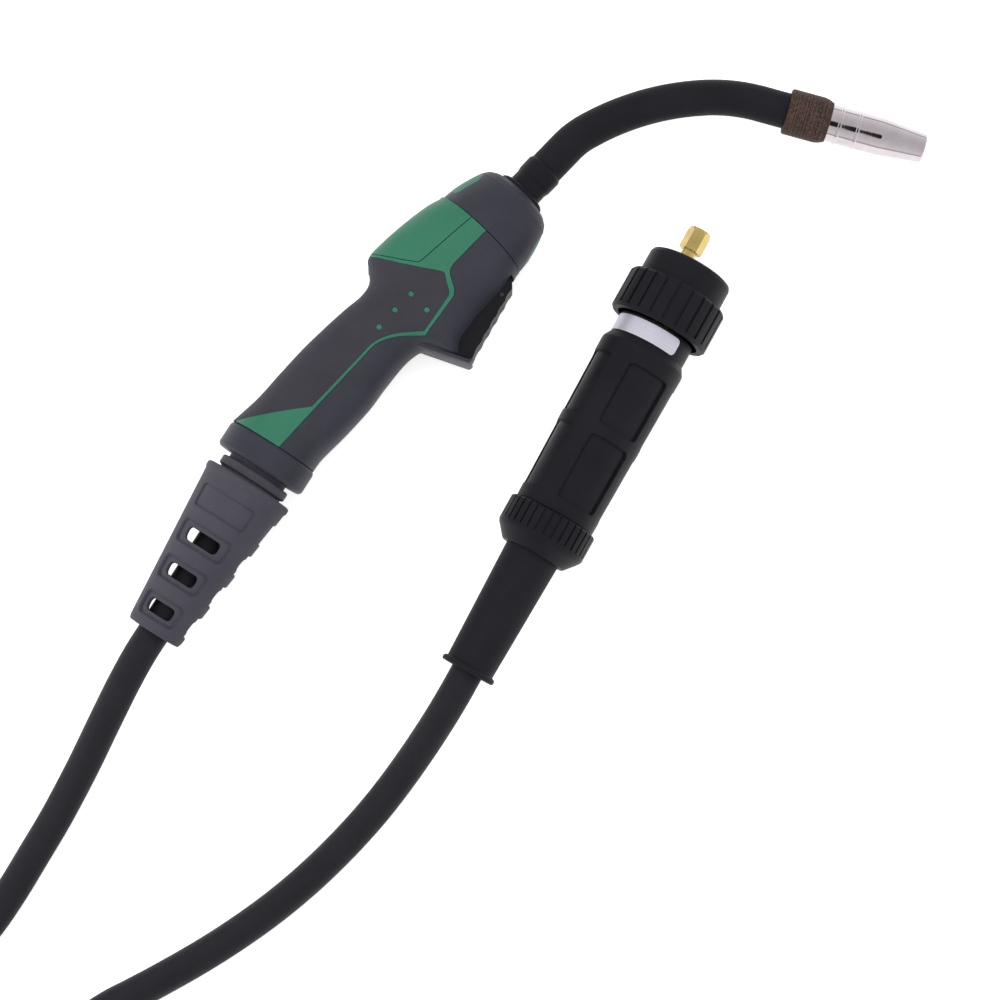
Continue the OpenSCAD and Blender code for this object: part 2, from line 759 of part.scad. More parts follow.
module trigger() {
    crown = 24;
    rib_pitch = 7.7;
    wall = 1.5;
    inner = trigger_w - 2 * 3.3;
    color(colour_black) at_swivel() difference() {
        intersection() {
            translate([0, 0, -trigger_w / 2]) linear_extrude(trigger_w) trigger_outline();
            translate([trigger_front[0], trigger_front[1], 0]) rotate([0, 0, trigger_slope])
                translate([-big / 2, crown - 0.2, 0]) along_x() cylinder(r = crown + 1.9, h = big);
        }
        translate([0, 0, -inner / 2]) linear_extrude(inner)
            polygon([pivot + [11, 1.6], trigger_front + [0.2, wall + 0.3], trigger_back + [1, wall + 0.6],
                trigger_back + [1, 40], [button_x - 3, 0], [button_x - 3, trigger_back[1] + 6.4],
                [button_x + 3, trigger_back[1] + 7.8], [button_x + 3, 0], pivot + [11, 30]]);
        translate([pivot[0], pivot[1], -20]) cylinder(r = pin_d / 2 + pin_fit, h = 40);
        translate([pivot[0], pivot[1], -inner / 2])
            cylinder(r = spring_coil_r + spring_wire + 0.2, h = inner);
        translate([trigger_front[0], trigger_front[1], 0]) rotate([0, 0, trigger_slope])
            for (k = [0:4])
                translate([-4.4 - rib_pitch * k, -11.6, -20]) cylinder(r = 12, h = 40);
    }
}

module trigger_pin() {
    length = trigger_w - 0.2;
    color(colour_steel) at_swivel() translate([pivot[0], pivot[1], -length / 2])
        cylinder(d = pin_d, h = length);
}

module trigger_spring() {
    color(colour_steel) at_swivel() translate([pivot[0], pivot[1], 1.1 + spring_wire])
        for (k = [0:spring_turns - 1])
            translate([0, 0, k * (2 * spring_wire + 0.02)]) rotate_extrude()
                translate([spring_coil_r, 0]) circle(spring_wire);
}

module microswitch() {
    x = switch_at[0] - switch_size[0] / 2;
    color(colour_black) at_swivel() difference() {
        translate([x, switch_at[1], -switch_size[2] / 2]) cube(switch_size);
        translate([button_x, switch_at[1] - 1, 0]) rotate([-90, 0, 0])
            cylinder(d = button_d + 2 * clearance, h = 6.6);
        for (side = [-1, 1])
            translate([switch_at[0] + side * 5, switch_at[1] + 7, -10]) cylinder(r = 1.1, h = 20);
    }
}

module switch_button() {
    color([0.6, 0.15, 0.12]) at_swivel() translate([button_x, switch_at[1] - button_out, 0])
        rotate([-90, 0, 0]) cylinder(d = button_d, h = button_out + 3.2);
}

module switch_terminals() {
    blade = [3.4, 0.8, 3.2];
    color(colour_brass) at_swivel() for (k = [0:2])
        translate([switch_at[0] - switch_size[0] / 2 - blade[0],
            switch_at[1] + switch_size[1] - 1.8 - 2.6 * k, -blade[2] / 2])
            cube(blade);
}

// ---- inside the grip ----

module power_block() {
    color(colour_brass) at_swivel() along_x(-47) difference() {
        cylinder(r = power_r, h = 22.8);
        translate([0, 0, -1]) cylinder(r = 4, h = 30);
        translate([0, 0, -1]) cylinder(d = cable_d, h = 9);
        for (z = [12, 19])
            translate([0, 0, z]) rotate([0, -90, 0]) cylinder(r = 2, h = 20);
    }
}

module clamp_screws() {
    color(colour_steel) at_swivel() along_x(-47) for (z = [12, 19])
        translate([0, 0, z]) rotate([0, -90, 0]) translate([0, 0, 4.2]) difference() {
            cylinder(r = 2, h = power_r - 4);
            translate([0, 0, power_r - 6]) cylinder(r = 1.1, h = 3, $fn = 6);
        }
}

module cable_core() {
    r = cable_d / 2;
    bend = 60;
    bore = 2.4;
    turn = bend * tan(tail_tilt / 2);
    joint = ring_at[0] - ring_at[1] / ring_slope;
    behind = norm([joint - ring_at[0], ring_at[1]]);
    color(colour_black) {
        at_swivel() along_x(joint + turn - lap) ring(r, bore, -39 - joint - turn + lap);
        at_swivel() translate([joint + turn, -bend, 0]) rotate([0, 0, 90])
            rotate_extrude(angle = tail_tilt) translate([bend, 0]) ring_2d(r - step, bore + step);
        at_ring(behind + turn - lap) ring(r, bore, tail_at - behind - turn + lap);
    }
}

module rear_collar() {
    color(colour_shell) at_ring() rotate_extrude()
        polygon([[hub_lip_r + 0.6, 0], [ring_r - 1.2, 0], [ring_r - 0.8, 0.5], [ring_r - 0.1, 1.4],
            [ring_r, 2.4], [ring_r, ring_l - 1.4], [ring_r - 1.2, ring_l], [hub_neck_r + clearance, ring_l],
            [hub_neck_r + clearance, 6.3], [hub_lip_r + 0.6, 6.3]]);
}

module boot_hub() {
    bore = cable_d / 2 + clearance;
    color(colour_black) at_ring() rotate_extrude()
        polygon([[bore + ring_at[1], 2], [hub_lip_r, 2], [hub_lip_r, 6], [hub_neck_r, 6], [hub_neck_r, flange_at],
            [18.3, flange_at], [18.8, flange_at + 0.6], [18.8, flange_at + flange_l - 0.6],
            [18.3, flange_at + flange_l], [17.2, flange_at + flange_l + 0.4], [17.2, boot_at],
            [15.4, boot_at], [15.4, boot_at + 7], [bore, boot_at + 7], [bore, 13], [bore + 0.5, 6.5]]);
}

function boot_r(s) = mix(boot_tail_r, boot_rim_r, s / boot_l);

module boot_window(s, size, deep) {
    translate([boot_r(s) - deep, 0, boot_l - s]) rotate([0, 90, 0])
        linear_extrude(20) rounded_rect([size[1], size[0]], 1.5);
}

// A shallow recess that follows the boot's cone
module boot_recess(s, size, deep) {
    tail = s - size[1] / 2;
    rim = s + size[1] / 2;
    angle = size[0] / boot_r(s) * 180 / PI;
    rotate([0, 0, -angle / 2]) rotate_extrude(angle = angle)
        polygon([[boot_r(rim) - deep, boot_l - rim], [40, boot_l - rim], [40, boot_l - tail],
            [boot_r(tail) - deep, boot_l - tail]]);
}

module cable_boot() {
    wall = 2.6;
    bore = cable_d / 2 + clearance;
    inner = boot_rim_r - wall;
    color(colour_boot) at_ring(boot_at) difference() {
        rotate_extrude() polygon([[15.4, 0], [boot_rim_r - 0.8, 0], [boot_rim_r, 0.8], [boot_rim_r, 2.6],
            [boot_rim_r - 0.4, 3.4], [boot_tail_r + 0.2, boot_l - 2], [boot_tail_r - 0.8, boot_l],
            [bore, boot_l], [bore, boot_l - 4], [boot_tail_r - wall - 0.4, boot_l - 6],
            [inner - 0.6, 7], [15.4, 7]]);
        rotate([0, 0, window_turn]) {
            for (k = [0:2], column = [0:window_columns - 1]) {
                s = window_first + window_pitch * k;
                rotate([0, 0, 360 * column / window_columns]) {
                    boot_window(s, [window_widths[k], window_l], 9);
                    boot_recess(s, [window_widths[k] + 5 + k, window_l + 5.2], 0.9);
                }
            }
            boot_recess(panel_at, panel_size, 1);
        }
    }
}

// ---- cable ----

function on_floor(points) = [for (p = points) [p[0] + swivel_at[0], p[1] + swivel_at[1], p[2]]];
tail_turn = [cos(tail_tilt), sin(tail_tilt)];
boot_tail = [ring_at[0] - tail_at * tail_turn[0], ring_at[1] - tail_at * tail_turn[1], nose_r];
plug_tail = [plug_at[0], plug_at[1], nose_r];
plug_way = [cos(plug_turn), sin(plug_turn)];
boot_out = [boot_tail[0] - straight_out * tail_turn[0], boot_tail[1] - straight_out * tail_turn[1], nose_r];
plug_out = [plug_tail[0] - straight_out * plug_way[0], plug_tail[1] - straight_out * plug_way[1], nose_r];
function on_coil(r, angle, z) = [coil_at[0] + r * cos(angle), coil_at[1] + r * sin(angle), z];
torch_join = [on_coil(97.5, 88, low_turn), on_coil(93, 98, low_turn)];
plug_join = [on_coil(95.5, -25, high_turn), on_coil(91, -34, high_turn)];

module cable_torch_run() {
    color(colour_black) tube(on_floor(concat([boot_tail, boot_out], torch_route, torch_join)), cable_d / 2);
}

module cable_plug_run() {
    color(colour_black) tube(on_floor(concat([plug_tail, plug_out], plug_route, plug_join)), cable_d / 2);
}

module coil_place() {
    translate([swivel_at[0] + coil_at[0], swivel_at[1] + coil_at[1], coil_lift]) children();
}

module cable_coil() {
    color(colour_black) coil_place() rotate_extrude()
        translate([coil_d / 2, coil_half]) rounded_rect([2 * coil_half, 2 * coil_half], 7);
}

module coil_ties() {
    out = coil_half + 1.3;
    color([0.16, 0.16, 0.18]) coil_place() for (a = [150, 300])
        rotate([0, 0, a]) translate([coil_d / 2, 0, coil_half]) rotate([90, 0, 0])
            translate([0, 0, -tie_w / 2]) linear_extrude(tie_w) difference() {
                rounded_rect([2 * out, 2 * out], 8);
                rounded_rect([2 * coil_half + 1, 2 * coil_half + 0.1], 7);
            }
}

// ---- plug ----

module plug_cable_end() {
    color(colour_black) at_plug() ring(cable_d / 2, 2.4, housing_at + 20);
}

module plug_sleeve() {
    bore = cable_d / 2 + 0.1;
    r = 12.6;
    color(colour_black) at_plug() rotate_extrude()
        polygon([[bore, 0], [r + 1.2, 0], [r + 1.8, 0.7], [r + 1.8, 2], [r + 1.2, 2.8], [r, 3],
            [r + 1.7, sleeve_l], [r + 1.7, housing_at - 2], [bore, housing_at - 2]]);
}

// Cuts evenly spaced grooves round a nut
module grooves(count, r, deep, width, from, length) {
    for (k = [0:count - 1])
        rotate([0, 0, 360 * k / count]) translate([r - deep, -width / 2, from]) cube([8, width, length]);
}

module plug_clamp_nut() {
    r = clamp_nut_d / 2;
    bore = 14.4;
    color(colour_black) at_plug(sleeve_l) difference() {
        rotate_extrude() polygon([[bore, 0], [17, 0], [17.6, 0.5], [r - 0.8, 6.6], [r, 8.2],
            [r, clamp_l - 0.8], [r - 0.8, clamp_l], [bore, clamp_l]]);
        grooves(34, r, 0.7, 1.1, 9.4, clamp_l);
    }
}

module plug_housing() {
    rear = housing_rear_d / 2;
    front = housing_front_d / 2;
    neck = 20.2;
    bore = 14.6;
    recess_l = 33.6;
    recess_width = 58;
    color(colour_black) at_plug(housing_at) difference() {
        rotate_extrude() polygon([[bore, 0], [rear - 0.5, 0], [rear, 0.5], [front, housing_l - 5],
            [front - 0.1, housing_l - 3.4], [neck + 0.4, housing_l], [neck, housing_l + 0.4],
            [neck, web_at - housing_at - clearance - 0.2], [bore, web_at - housing_at - clearance - 0.2]]);
        for (row = [0, 1], k = [0:3]) {
            from = 11.6 + 43 * row;
            floor_r = mix(rear, front, from / housing_l) - 1.4;
            rotate([0, 0, 205 - recess_width / 2 + 90 * k]) translate([0, 0, from])
                rotate_extrude(angle = recess_width)
                    polygon([[floor_r, 0], [40, 0], [40, recess_l], [floor_r + 0.8, recess_l]]);
        }
    }
}

module plug_label() {
    r = 20.2;
    color([0.8, 0.8, 0.82]) at_plug(label_at) rotate([0, 0, 70])
        rotate_extrude(angle = 152) translate([r, 0]) square([0.15, label_l]);
}

module lock_nut() {
    r = lock_nut_d / 2;
    skirt_r = 22.4;
    thread_r = lock_thread_d / 2;
    room = 22.5;
    color(colour_black) at_plug(nut_at) difference() {
        rotate_extrude() polygon([[room, 0], [r - 1, 0], [r, 1.2], [r, rib_l - 1.4], [r - 1, rib_l],
            [skirt_r, rib_l], [skirt_r, rib_l + skirt_l - 2.6], [skirt_r - 0.8, rib_l + skirt_l - 0.8],
            [skirt_r - 2.6, rib_l + skirt_l], [thread_r + 0.6, rib_l + skirt_l],
            [thread_r, rib_l + skirt_l - 0.6], [thread_r, 15], [core_r + clearance, 15],
            [core_r + clearance, 9], [room, 9]]);
        grooves(24, r, 0.8, 1.7, 1.8, rib_l);
    }
}

// The two contact pins' places, on the far side of the axis from the spigot
module contact_holes(r, from, h) {
    for (side = [-1, 1])
        translate([side * contact_half, -contact_drop, from]) cylinder(r = r, h = h);
}

module plug_core() {
    back = housing_at + 8;
    color(colour_brass) at_plug() difference() {
        union() {
            translate([0, 0, back]) cylinder(r = core_r, h = core_front - 6 - back);
            translate([0, 0, web_at + web_l + clearance]) cylinder(r = flange_r, h = 2.5);
        }
        translate([0, 0, back - 1]) cylinder(r = cable_d / 2, h = housing_at + 21 - back);
        translate([0, spigot_offset, back]) cylinder(r = 2.4, h = 140);
        contact_holes(contact_d / 2 + 0.6, core_front - 12, 20);
    }
}

module plug_insert() {
    color(colour_shell) at_plug(core_front - 6) difference() {
        cylinder(r = core_r - 0.6, h = 6);
        translate([0, spigot_offset, -1]) cylinder(d = spigot_d, h = 10);
        contact_holes(contact_d / 2 + clearance, -1, 20);
    }
}

module plug_spigot() {
    color(colour_brass) at_plug(core_front) translate([0, spigot_offset, 0]) difference() {
        union() {
            translate([0, 0, -6]) cylinder(d = spigot_d, h = 2 + spigot_l);
            translate([0, 0, spigot_l - 4]) cylinder(r = 3.9, h = 4);
        }
        translate([0, 0, -7]) cylinder(r = 2.4, h = 40);
        translate([0, 0, seal_at]) rotate_extrude() translate([spigot_d / 2, 0]) circle(0.9);
    }
}

module spigot_seal() {
    color(colour_black) at_plug(core_front + seal_at) translate([0, spigot_offset, 0]) rotate_extrude()
        translate([spigot_d / 2, 0]) circle(0.85);
}

module liner_nut() {
    r = liner_nut_af / 2 / cos(30);
    color(colour_brass) at_plug(core_front + spigot_l) translate([0, spigot_offset, 0]) difference() {
        intersection() {
            rotate([0, 0, 30]) cylinder(r = r, h = liner_nut_l, $fn = 6);
            cylinder(r1 = r + 3, r2 = r - 0.7, h = liner_nut_l);
        }
        translate([0, 0, -1]) cylinder(r = wire_bore / 2 + 1, h = 20);
    }
}

module contact_pin(side) {
    color(colour_brass) at_plug(core_front) translate([side * contact_half, -contact_drop, -6]) {
        cylinder(d = contact_d, h = 5 + contact_out);
        translate([0, 0, 5 + contact_out]) cylinder(r1 = contact_d / 2, r2 = contact_d / 2 - 0.8, h = 1);
    }
}

module contact_pin_a() {
    contact_pin(1);
}

module contact_pin_b() {
    contact_pin(-1);
}

handle_lower_shell();
handle_upper_shell();
grip_overmould();
hood_cover();
hood_screw();
accent_dots();
lock_collar();
collar_inlays();
swivel_bush();
neck_hub();
neck_seal();
neck_collar();
neck_tube();
neck_sleeve();
wire_liner();
insulator_sleeve();
tip_holder();
contact_tip();
nozzle_spring();
gas_nozzle();
trigger();
trigger_pin();
trigger_spring();
microswitch();
switch_button();
switch_terminals();
power_block();
clamp_screws();
cable_core();
rear_collar();
boot_hub();
cable_boot();
cable_torch_run();
cable_coil();
coil_ties();
cable_plug_run();
plug_cable_end();
plug_sleeve();
plug_clamp_nut();
plug_housing();
plug_label();
lock_nut();
plug_core();
plug_insert();
plug_spigot();
spigot_seal();
liner_nut();
contact_pin_a();
contact_pin_b();
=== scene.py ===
import json
import math

import bmesh
import bpy
from mathutils import Matrix, Vector

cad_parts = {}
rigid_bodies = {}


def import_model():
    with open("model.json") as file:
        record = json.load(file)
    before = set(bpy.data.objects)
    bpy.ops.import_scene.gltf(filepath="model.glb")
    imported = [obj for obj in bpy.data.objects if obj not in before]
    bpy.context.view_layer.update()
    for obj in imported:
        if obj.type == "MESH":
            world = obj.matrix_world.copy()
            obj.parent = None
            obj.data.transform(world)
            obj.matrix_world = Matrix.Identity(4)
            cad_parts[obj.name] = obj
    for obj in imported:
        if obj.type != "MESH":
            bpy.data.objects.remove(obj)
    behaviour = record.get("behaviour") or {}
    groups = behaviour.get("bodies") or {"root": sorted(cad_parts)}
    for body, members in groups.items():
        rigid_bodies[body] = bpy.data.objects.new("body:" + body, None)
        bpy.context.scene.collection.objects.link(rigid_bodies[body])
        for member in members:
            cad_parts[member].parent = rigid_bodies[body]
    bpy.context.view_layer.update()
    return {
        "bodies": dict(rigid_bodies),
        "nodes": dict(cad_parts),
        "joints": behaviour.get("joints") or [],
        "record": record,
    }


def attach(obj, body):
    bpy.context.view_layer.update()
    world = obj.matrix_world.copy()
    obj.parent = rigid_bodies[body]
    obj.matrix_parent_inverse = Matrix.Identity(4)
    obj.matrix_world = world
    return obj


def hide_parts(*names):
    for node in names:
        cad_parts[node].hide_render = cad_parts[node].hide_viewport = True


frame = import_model()
nodes = frame["nodes"]
print("frame loaded,", len(nodes), "CAD nodes")

# The places that the torch is built from, in mm: the swivel axis at the handle's nose,
# the rear ring's front face and the tail of the plug
places = {
    "nose": (34.2, 51.0, 26.7),
    "ring": (-150.6, 1.2),
    "ringTilt": 11.25,
    "plugTail": (-165.4, -146.6),
    "plugTurn": 14.4,
    "neckStraight": 62.5,
    "neckBends": ((42.0, 16.0), (133.0, 28.0), (87.0, 18.3)),
    "cable": 8.2,
}
nose = Vector(places["nose"])


def mm(x, y=0.0, z=0.0):
    # A point measured from the nose, in metres in the frame
    return (Vector((x, y, z)) + nose) / 1000


def axisPlace(x, y, turn):
    # Z runs along the piece's axis, X points down and Y to the side
    turned = Matrix.Rotation(math.radians(turn), 4, "Z") @ Matrix.Rotation(math.radians(90), 4, "Y")
    return Matrix.Translation(Vector((x, y, 0)) + nose) @ turned


def neckPlace():
    # The frame at the start of the neck's straight end
    at = Matrix.Translation((places["neckStraight"], 0, 0))
    for radius, angle in places["neckBends"]:
        a = math.radians(angle)
        at = at @ Matrix.Translation((radius * math.sin(a), radius * (math.cos(a) - 1), 0))
        at = at @ Matrix.Rotation(-a, 4, "Z")
    return Matrix.Translation(nose) @ at @ Matrix.Rotation(math.radians(90), 4, "Y")


swivelPlace = axisPlace(0, 0, 0)
ringPlace = axisPlace(*places["ring"], 180 + places["ringTilt"])
plugPlace = axisPlace(*places["plugTail"], places["plugTurn"])
neckEndPlace = neckPlace()


# ---- camera, lamps and floor ----
cameraSet = {
    "target": (-91.9, -99.5, -0.2), "up": (0.7254, 0.6883), "elevation": 84, "distance": 1.15, "lens": 82.8,
}


def makeCamera(v):
    target = mm(*v["target"])
    up = Vector((*v["up"], 0)).normalized()
    tilt = math.radians(v["elevation"])
    back = math.sin(tilt) * Vector((0, 0, 1)) - math.cos(tilt) * up
    camera = bpy.data.objects.new("camera", bpy.data.cameras.new("camera"))
    bpy.context.scene.collection.objects.link(camera)
    right = up.cross(back).normalized()
    over = back.cross(right)
    camera.matrix_world = Matrix.Translation(target + back * v["distance"]) @ Matrix(
        (right, over, back)).transposed().to_4x4()
    camera.data.lens = v["lens"]
    camera.data.sensor_width = 36
    camera.data.clip_start, camera.data.clip_end = 0.01, 20
    bpy.context.scene.camera = camera


makeCamera(cameraSet)

lampSet = {
    "over": {"at": (0.1, 0.15, 1.3), "aim": (-0.05, -0.03, 0), "size": 1.1, "watts": 7.0},
    "left": {"at": (-1.0, 0.55, 0.55), "aim": (-0.05, 0.0, 0.02), "size": 0.9, "watts": 6.0},
    "right": {"at": (0.75, -0.75, 0.5), "aim": (0.0, -0.05, 0.02), "size": 0.7, "watts": 2.5},
}


def makeLamps(v):
    for name, lamp in v.items():
        data = bpy.data.lights.new(name, "AREA")
        data.shape, data.size, data.energy = "DISK", lamp["size"], lamp["watts"]
        obj = bpy.data.objects.new(name, data)
        obj.location = lamp["at"]
        aim = Vector(lamp["aim"]) - Vector(lamp["at"])
        obj.rotation_euler = aim.to_track_quat("-Z", "Y").to_euler()
        obj.visible_glossy = False
        bpy.context.scene.collection.objects.link(obj)


makeLamps(lampSet)
bpy.context.scene.view_settings.view_transform = "Standard"


def feed(tree, node, inputs):
    # Each input of the node gets its value, or its link where the value is another node's socket
    for key, value in inputs.items():
        if isinstance(value, bpy.types.NodeSocket):
            tree.links.new(value, node.inputs[key])
        else:
            node.inputs[key].default_value = value
    return node


def add(tree, kind, inputs=None, **settings):
    # One shader node with its settings and inputs
    node = tree.nodes.new(kind)
    for key, value in settings.items():
        setattr(node, key, value)
    return feed(tree, node, inputs or {})


def reckon(tree, operation, a, b, clamp=False):
    return add(tree, "ShaderNodeMath", {0: a, 1: b}, operation=operation, use_clamp=clamp).outputs[0]


def ramp(tree, value, inputs):
    # The value moved from one range to another: 1 and 2 are the old range's ends, 3 and 4 the new one's
    return add(tree, "ShaderNodeMapRange", {0: value, **inputs}).outputs[0]


def inFrame(tree):
    return add(tree, "ShaderNodeTexCoord").outputs["Object"]


def seenPlainly(tree, path):
    # 1 on camera, mirror and transmission rays, and 0 on the rays that light
    seen = reckon(tree, "MAXIMUM", path.outputs["Is Camera Ray"], path.outputs["Is Glossy Ray"])
    return reckon(tree, "MAXIMUM", seen, path.outputs["Is Transmission Ray"])


worldSet = {
    "lit": 0.55, "shown": 1.0, "lensDark": 0.03, "lensSize": 0.968, "lensEdge": 0.006, "lensFrom": (150, -70, 0),
    "overhead": 0.74, "upperBand": (0.35, 0.95), "horizon": 0.4, "lowerBand": (0.03, 0.2),
}


def makeWorld(v):
    # White where it is seen or mirrored, softer where it lights, and a dark lens straight above in mirrors
    world = bpy.data.worlds.new("studio")
    bpy.context.scene.world = world
    world.use_nodes = True
    tree = world.node_tree
    tree.nodes.clear()
    path = add(tree, "ShaderNodeLightPath")
    strength = ramp(tree, seenPlainly(tree, path), {3: v["lit"], 4: v["shown"]})
    away = add(tree, "ShaderNodeTexCoord").outputs["Generated"]
    over = (bpy.context.scene.camera.matrix_world.translation - mm(*v["lensFrom"])).normalized()
    near = add(tree, "ShaderNodeVectorMath", {0: away, 1: over}, operation="DOT_PRODUCT")
    lens = ramp(tree, near.outputs["Value"],
                {1: v["lensSize"] - v["lensEdge"], 2: v["lensSize"], 3: 1.0, 4: v["lensDark"]})
    height = add(tree, "ShaderNodeSeparateXYZ", {0: away}).outputs["Z"]
    upper = ramp(tree, height, {1: v["upperBand"][0], 2: v["upperBand"][1], 3: 1.0, 4: v["overhead"]})
    lower = ramp(tree, height, {1: v["lowerBand"][0], 2: v["lowerBand"][1], 3: v["horizon"], 4: 1.0})
    mirrored = reckon(tree, "MULTIPLY", reckon(tree, "MULTIPLY", upper, lower), lens)
    shade = add(tree, "ShaderNodeMix", {0: path.outputs["Is Glossy Ray"], 2: 1.0, 3: mirrored})
    level = reckon(tree, "MULTIPLY", strength, shade.outputs[0])
    ground = add(tree, "ShaderNodeBackground", {"Color": (1, 1, 1, 1), "Strength": level})
    add(tree, "ShaderNodeOutputWorld", {0: ground.outputs[0]})


makeWorld(worldSet)

floorSet = {"size": 6.0, "shade": 0.8, "glow": 0.68}


def makeFloor(v):
    mesh = bpy.data.meshes.new("floor")
    half = v["size"] / 2
    mesh.from_pydata([(-half, -half, 0), (half, -half, 0), (half, half, 0), (-half, half, 0)], [], [(0, 1, 2, 3)])
    floor = bpy.data.objects.new("floor", mesh)
    bpy.context.scene.collection.objects.link(floor)
    paint = bpy.data.materials.new("floorPaint")
    paint.use_nodes = True
    tree = paint.node_tree
    tree.nodes.clear()
    level = reckon(tree, "MULTIPLY", seenPlainly(tree, add(tree, "ShaderNodeLightPath")), v["glow"])
    matte = add(tree, "ShaderNodeBsdfDiffuse", {"Color": (v["shade"],) * 3 + (1,)})
    glow = add(tree, "ShaderNodeEmission", {"Strength": level})
    both = add(tree, "ShaderNodeAddShader", {0: matte.outputs[0], 1: glow.outputs[0]})
    add(tree, "ShaderNodeOutputMaterial", {"Surface": both.outputs[0]}, target="ALL")
    floor.data.materials.append(paint)


makeFloor(floorSet)
print("camera, lamps and floor done")


# ---- shared surface effects, as node groups ----
def newGroup(name, inputs, outputs):
    tree = bpy.data.node_groups.new(name, "ShaderNodeTree")
    for label, kind, value in inputs:
        socket = tree.interface.new_socket(label, in_out="INPUT", socket_type=kind)
        socket.default_value = value
    for label, kind in outputs:
        tree.interface.new_socket(label, in_out="OUTPUT", socket_type=kind)
    return tree, tree.nodes.new("NodeGroupInput"), tree.nodes.new("NodeGroupOutput")


number, colour, vector = "NodeSocketFloat", "NodeSocketColor", "NodeSocketVector"


def grainGroup():
    # Spark-eroded mould grain: fine pits in the normal and soft patches of wear
    tree, inward, outward = newGroup(
        "mouldGrain",
        [("Grain size", number, 1400.0), ("Depth", number, 0.2), ("Patch size", number, 35.0),
         ("Patch spread", number, 0.3)],
        [("Normal", vector), ("Patches", number)])
    given = inward.outputs
    where = inFrame(tree)
    fine = add(tree, "ShaderNodeTexNoise",
               {"Vector": where, "Scale": given["Grain size"], "Detail": 3.0, "Roughness": 0.6})
    bump = add(tree, "ShaderNodeBump", {"Height": fine.outputs[0], "Strength": given["Depth"], "Distance": 0.0004})
    wide = add(tree, "ShaderNodeTexNoise",
               {"Vector": where, "Scale": given["Patch size"], "Detail": 5.0, "Roughness": 0.65})
    spread = reckon(tree, "MULTIPLY", given["Patch spread"], 0.5)
    patches = ramp(tree, wide.outputs[0],
                   {1: reckon(tree, "SUBTRACT", 0.5, spread), 2: reckon(tree, "ADD", 0.5, spread)})
    feed(tree, outward, {"Normal": bump.outputs[0], "Patches": patches})
    return tree


def tintGroup():
    # Mixes a colour towards a second one and spreads the gloss by the same mask
    tree, inward, outward = newGroup(
        "tintByMask",
        [("Mask", number, 0.0), ("Colour", colour, (0.1, 0.1, 0.1, 1)), ("Worn colour", colour, (0.2, 0.2, 0.2, 1)),
         ("Amount", number, 0.3), ("Roughness low", number, 0.4), ("Roughness high", number, 0.6)],
        [("Colour", colour), ("Roughness", number)])
    given = inward.outputs
    share = reckon(tree, "MULTIPLY", given["Mask"], given["Amount"])
    mixed = add(tree, "ShaderNodeMix", {0: share, 6: given["Colour"], 7: given["Worn colour"]}, data_type="RGBA")
    rough = ramp(tree, given["Mask"], {3: given["Roughness low"], 4: given["Roughness high"]})
    feed(tree, outward, {"Colour": mixed.outputs[2], "Roughness": rough})
    return tree


def dustGroup():
    # Sparse light specks of dust that lie on dark rubber
    tree, inward, outward = newGroup("dustSpecks", [("Amount", number, 0.5)], [("Mask", number)])
    where = inFrame(tree)
    cells = add(tree, "ShaderNodeTexVoronoi", {"Vector": where, "Scale": 700.0, "Randomness": 1.0})
    dots = ramp(tree, cells.outputs["Distance"], {1: 0.1, 2: 0.16, 3: 1.0, 4: 0.0})
    few = add(tree, "ShaderNodeTexNoise", {"Vector": where, "Scale": 90.0, "Detail": 4.0})
    rare = ramp(tree, few.outputs[0], {1: 0.56, 2: 0.68})
    specks = reckon(tree, "MULTIPLY", dots, rare)
    feed(tree, outward, {"Mask": reckon(tree, "MULTIPLY", specks, inward.outputs["Amount"])})
    return tree


def ringMarkGroup():
    # Fine rings left by a lathe, square to the piece's axis
    tree, inward, outward = newGroup(
        "ringMarks",
        [("Axis", vector, (1, 0, 0)), ("Rings", number, 900.0), ("Depth", number, 0.15)], [("Normal", vector)])
    given = inward.outputs
    where = inFrame(tree)
    far = add(tree, "ShaderNodeVectorMath", {0: where, 1: given["Axis"]}, operation="DOT_PRODUCT")
    marks = add(tree, "ShaderNodeTexNoise",
                {"W": far.outputs["Value"], "Scale": given["Rings"], "Detail": 2.0, "Roughness": 0.7},
                noise_dimensions="1D").outputs[0]
    bump = add(tree, "ShaderNodeBump", {"Height": marks, "Strength": given["Depth"], "Distance": 0.0003})
    feed(tree, outward, {"Normal": bump.outputs[0]})
    return tree


grain, tint, dust, ringMarks = grainGroup(), tintGroup(), dustGroup(), ringMarkGroup()


def place(tree, group, values):
    return add(tree, "ShaderNodeGroup", values, node_tree=group).outputs


def newMaterial(name, base, roughness, **sockets):
    material = bpy.data.materials.new(name)
    material.use_nodes = True
    shader = material.node_tree.nodes["Principled BSDF"]
    shader.inputs["Base Color"].default_value = (*base, 1)
    shader.inputs["Roughness"].default_value = roughness
    for key, value in sockets.items():
        shader.inputs[key.replace("_", " ")].default_value = value
    material.diffuse_color = (*base, 1)
    return material, material.node_tree, shader


def srgb(r, g, b):
    return tuple(((c / 255 + 0.055) / 1.055) ** 2.4 if c > 10 else c / 255 / 12.92 for c in (r, g, b))


def tinted(tree, shader, mask, colours, amount, rough, normal=None):
    # The shader's colour and gloss by a mask, and its normal
    out = place(tree, tint, {
        "Mask": mask, "Colour": (*srgb(*colours[0]), 1), "Worn colour": (*srgb(*colours[1]), 1), "Amount": amount,
        "Roughness low": rough[0], "Roughness high": rough[1]})
    feed(tree, shader, {"Base Color": out["Colour"], "Roughness": out["Roughness"]})
    if normal is not None:
        feed(tree, shader, {"Normal": normal})


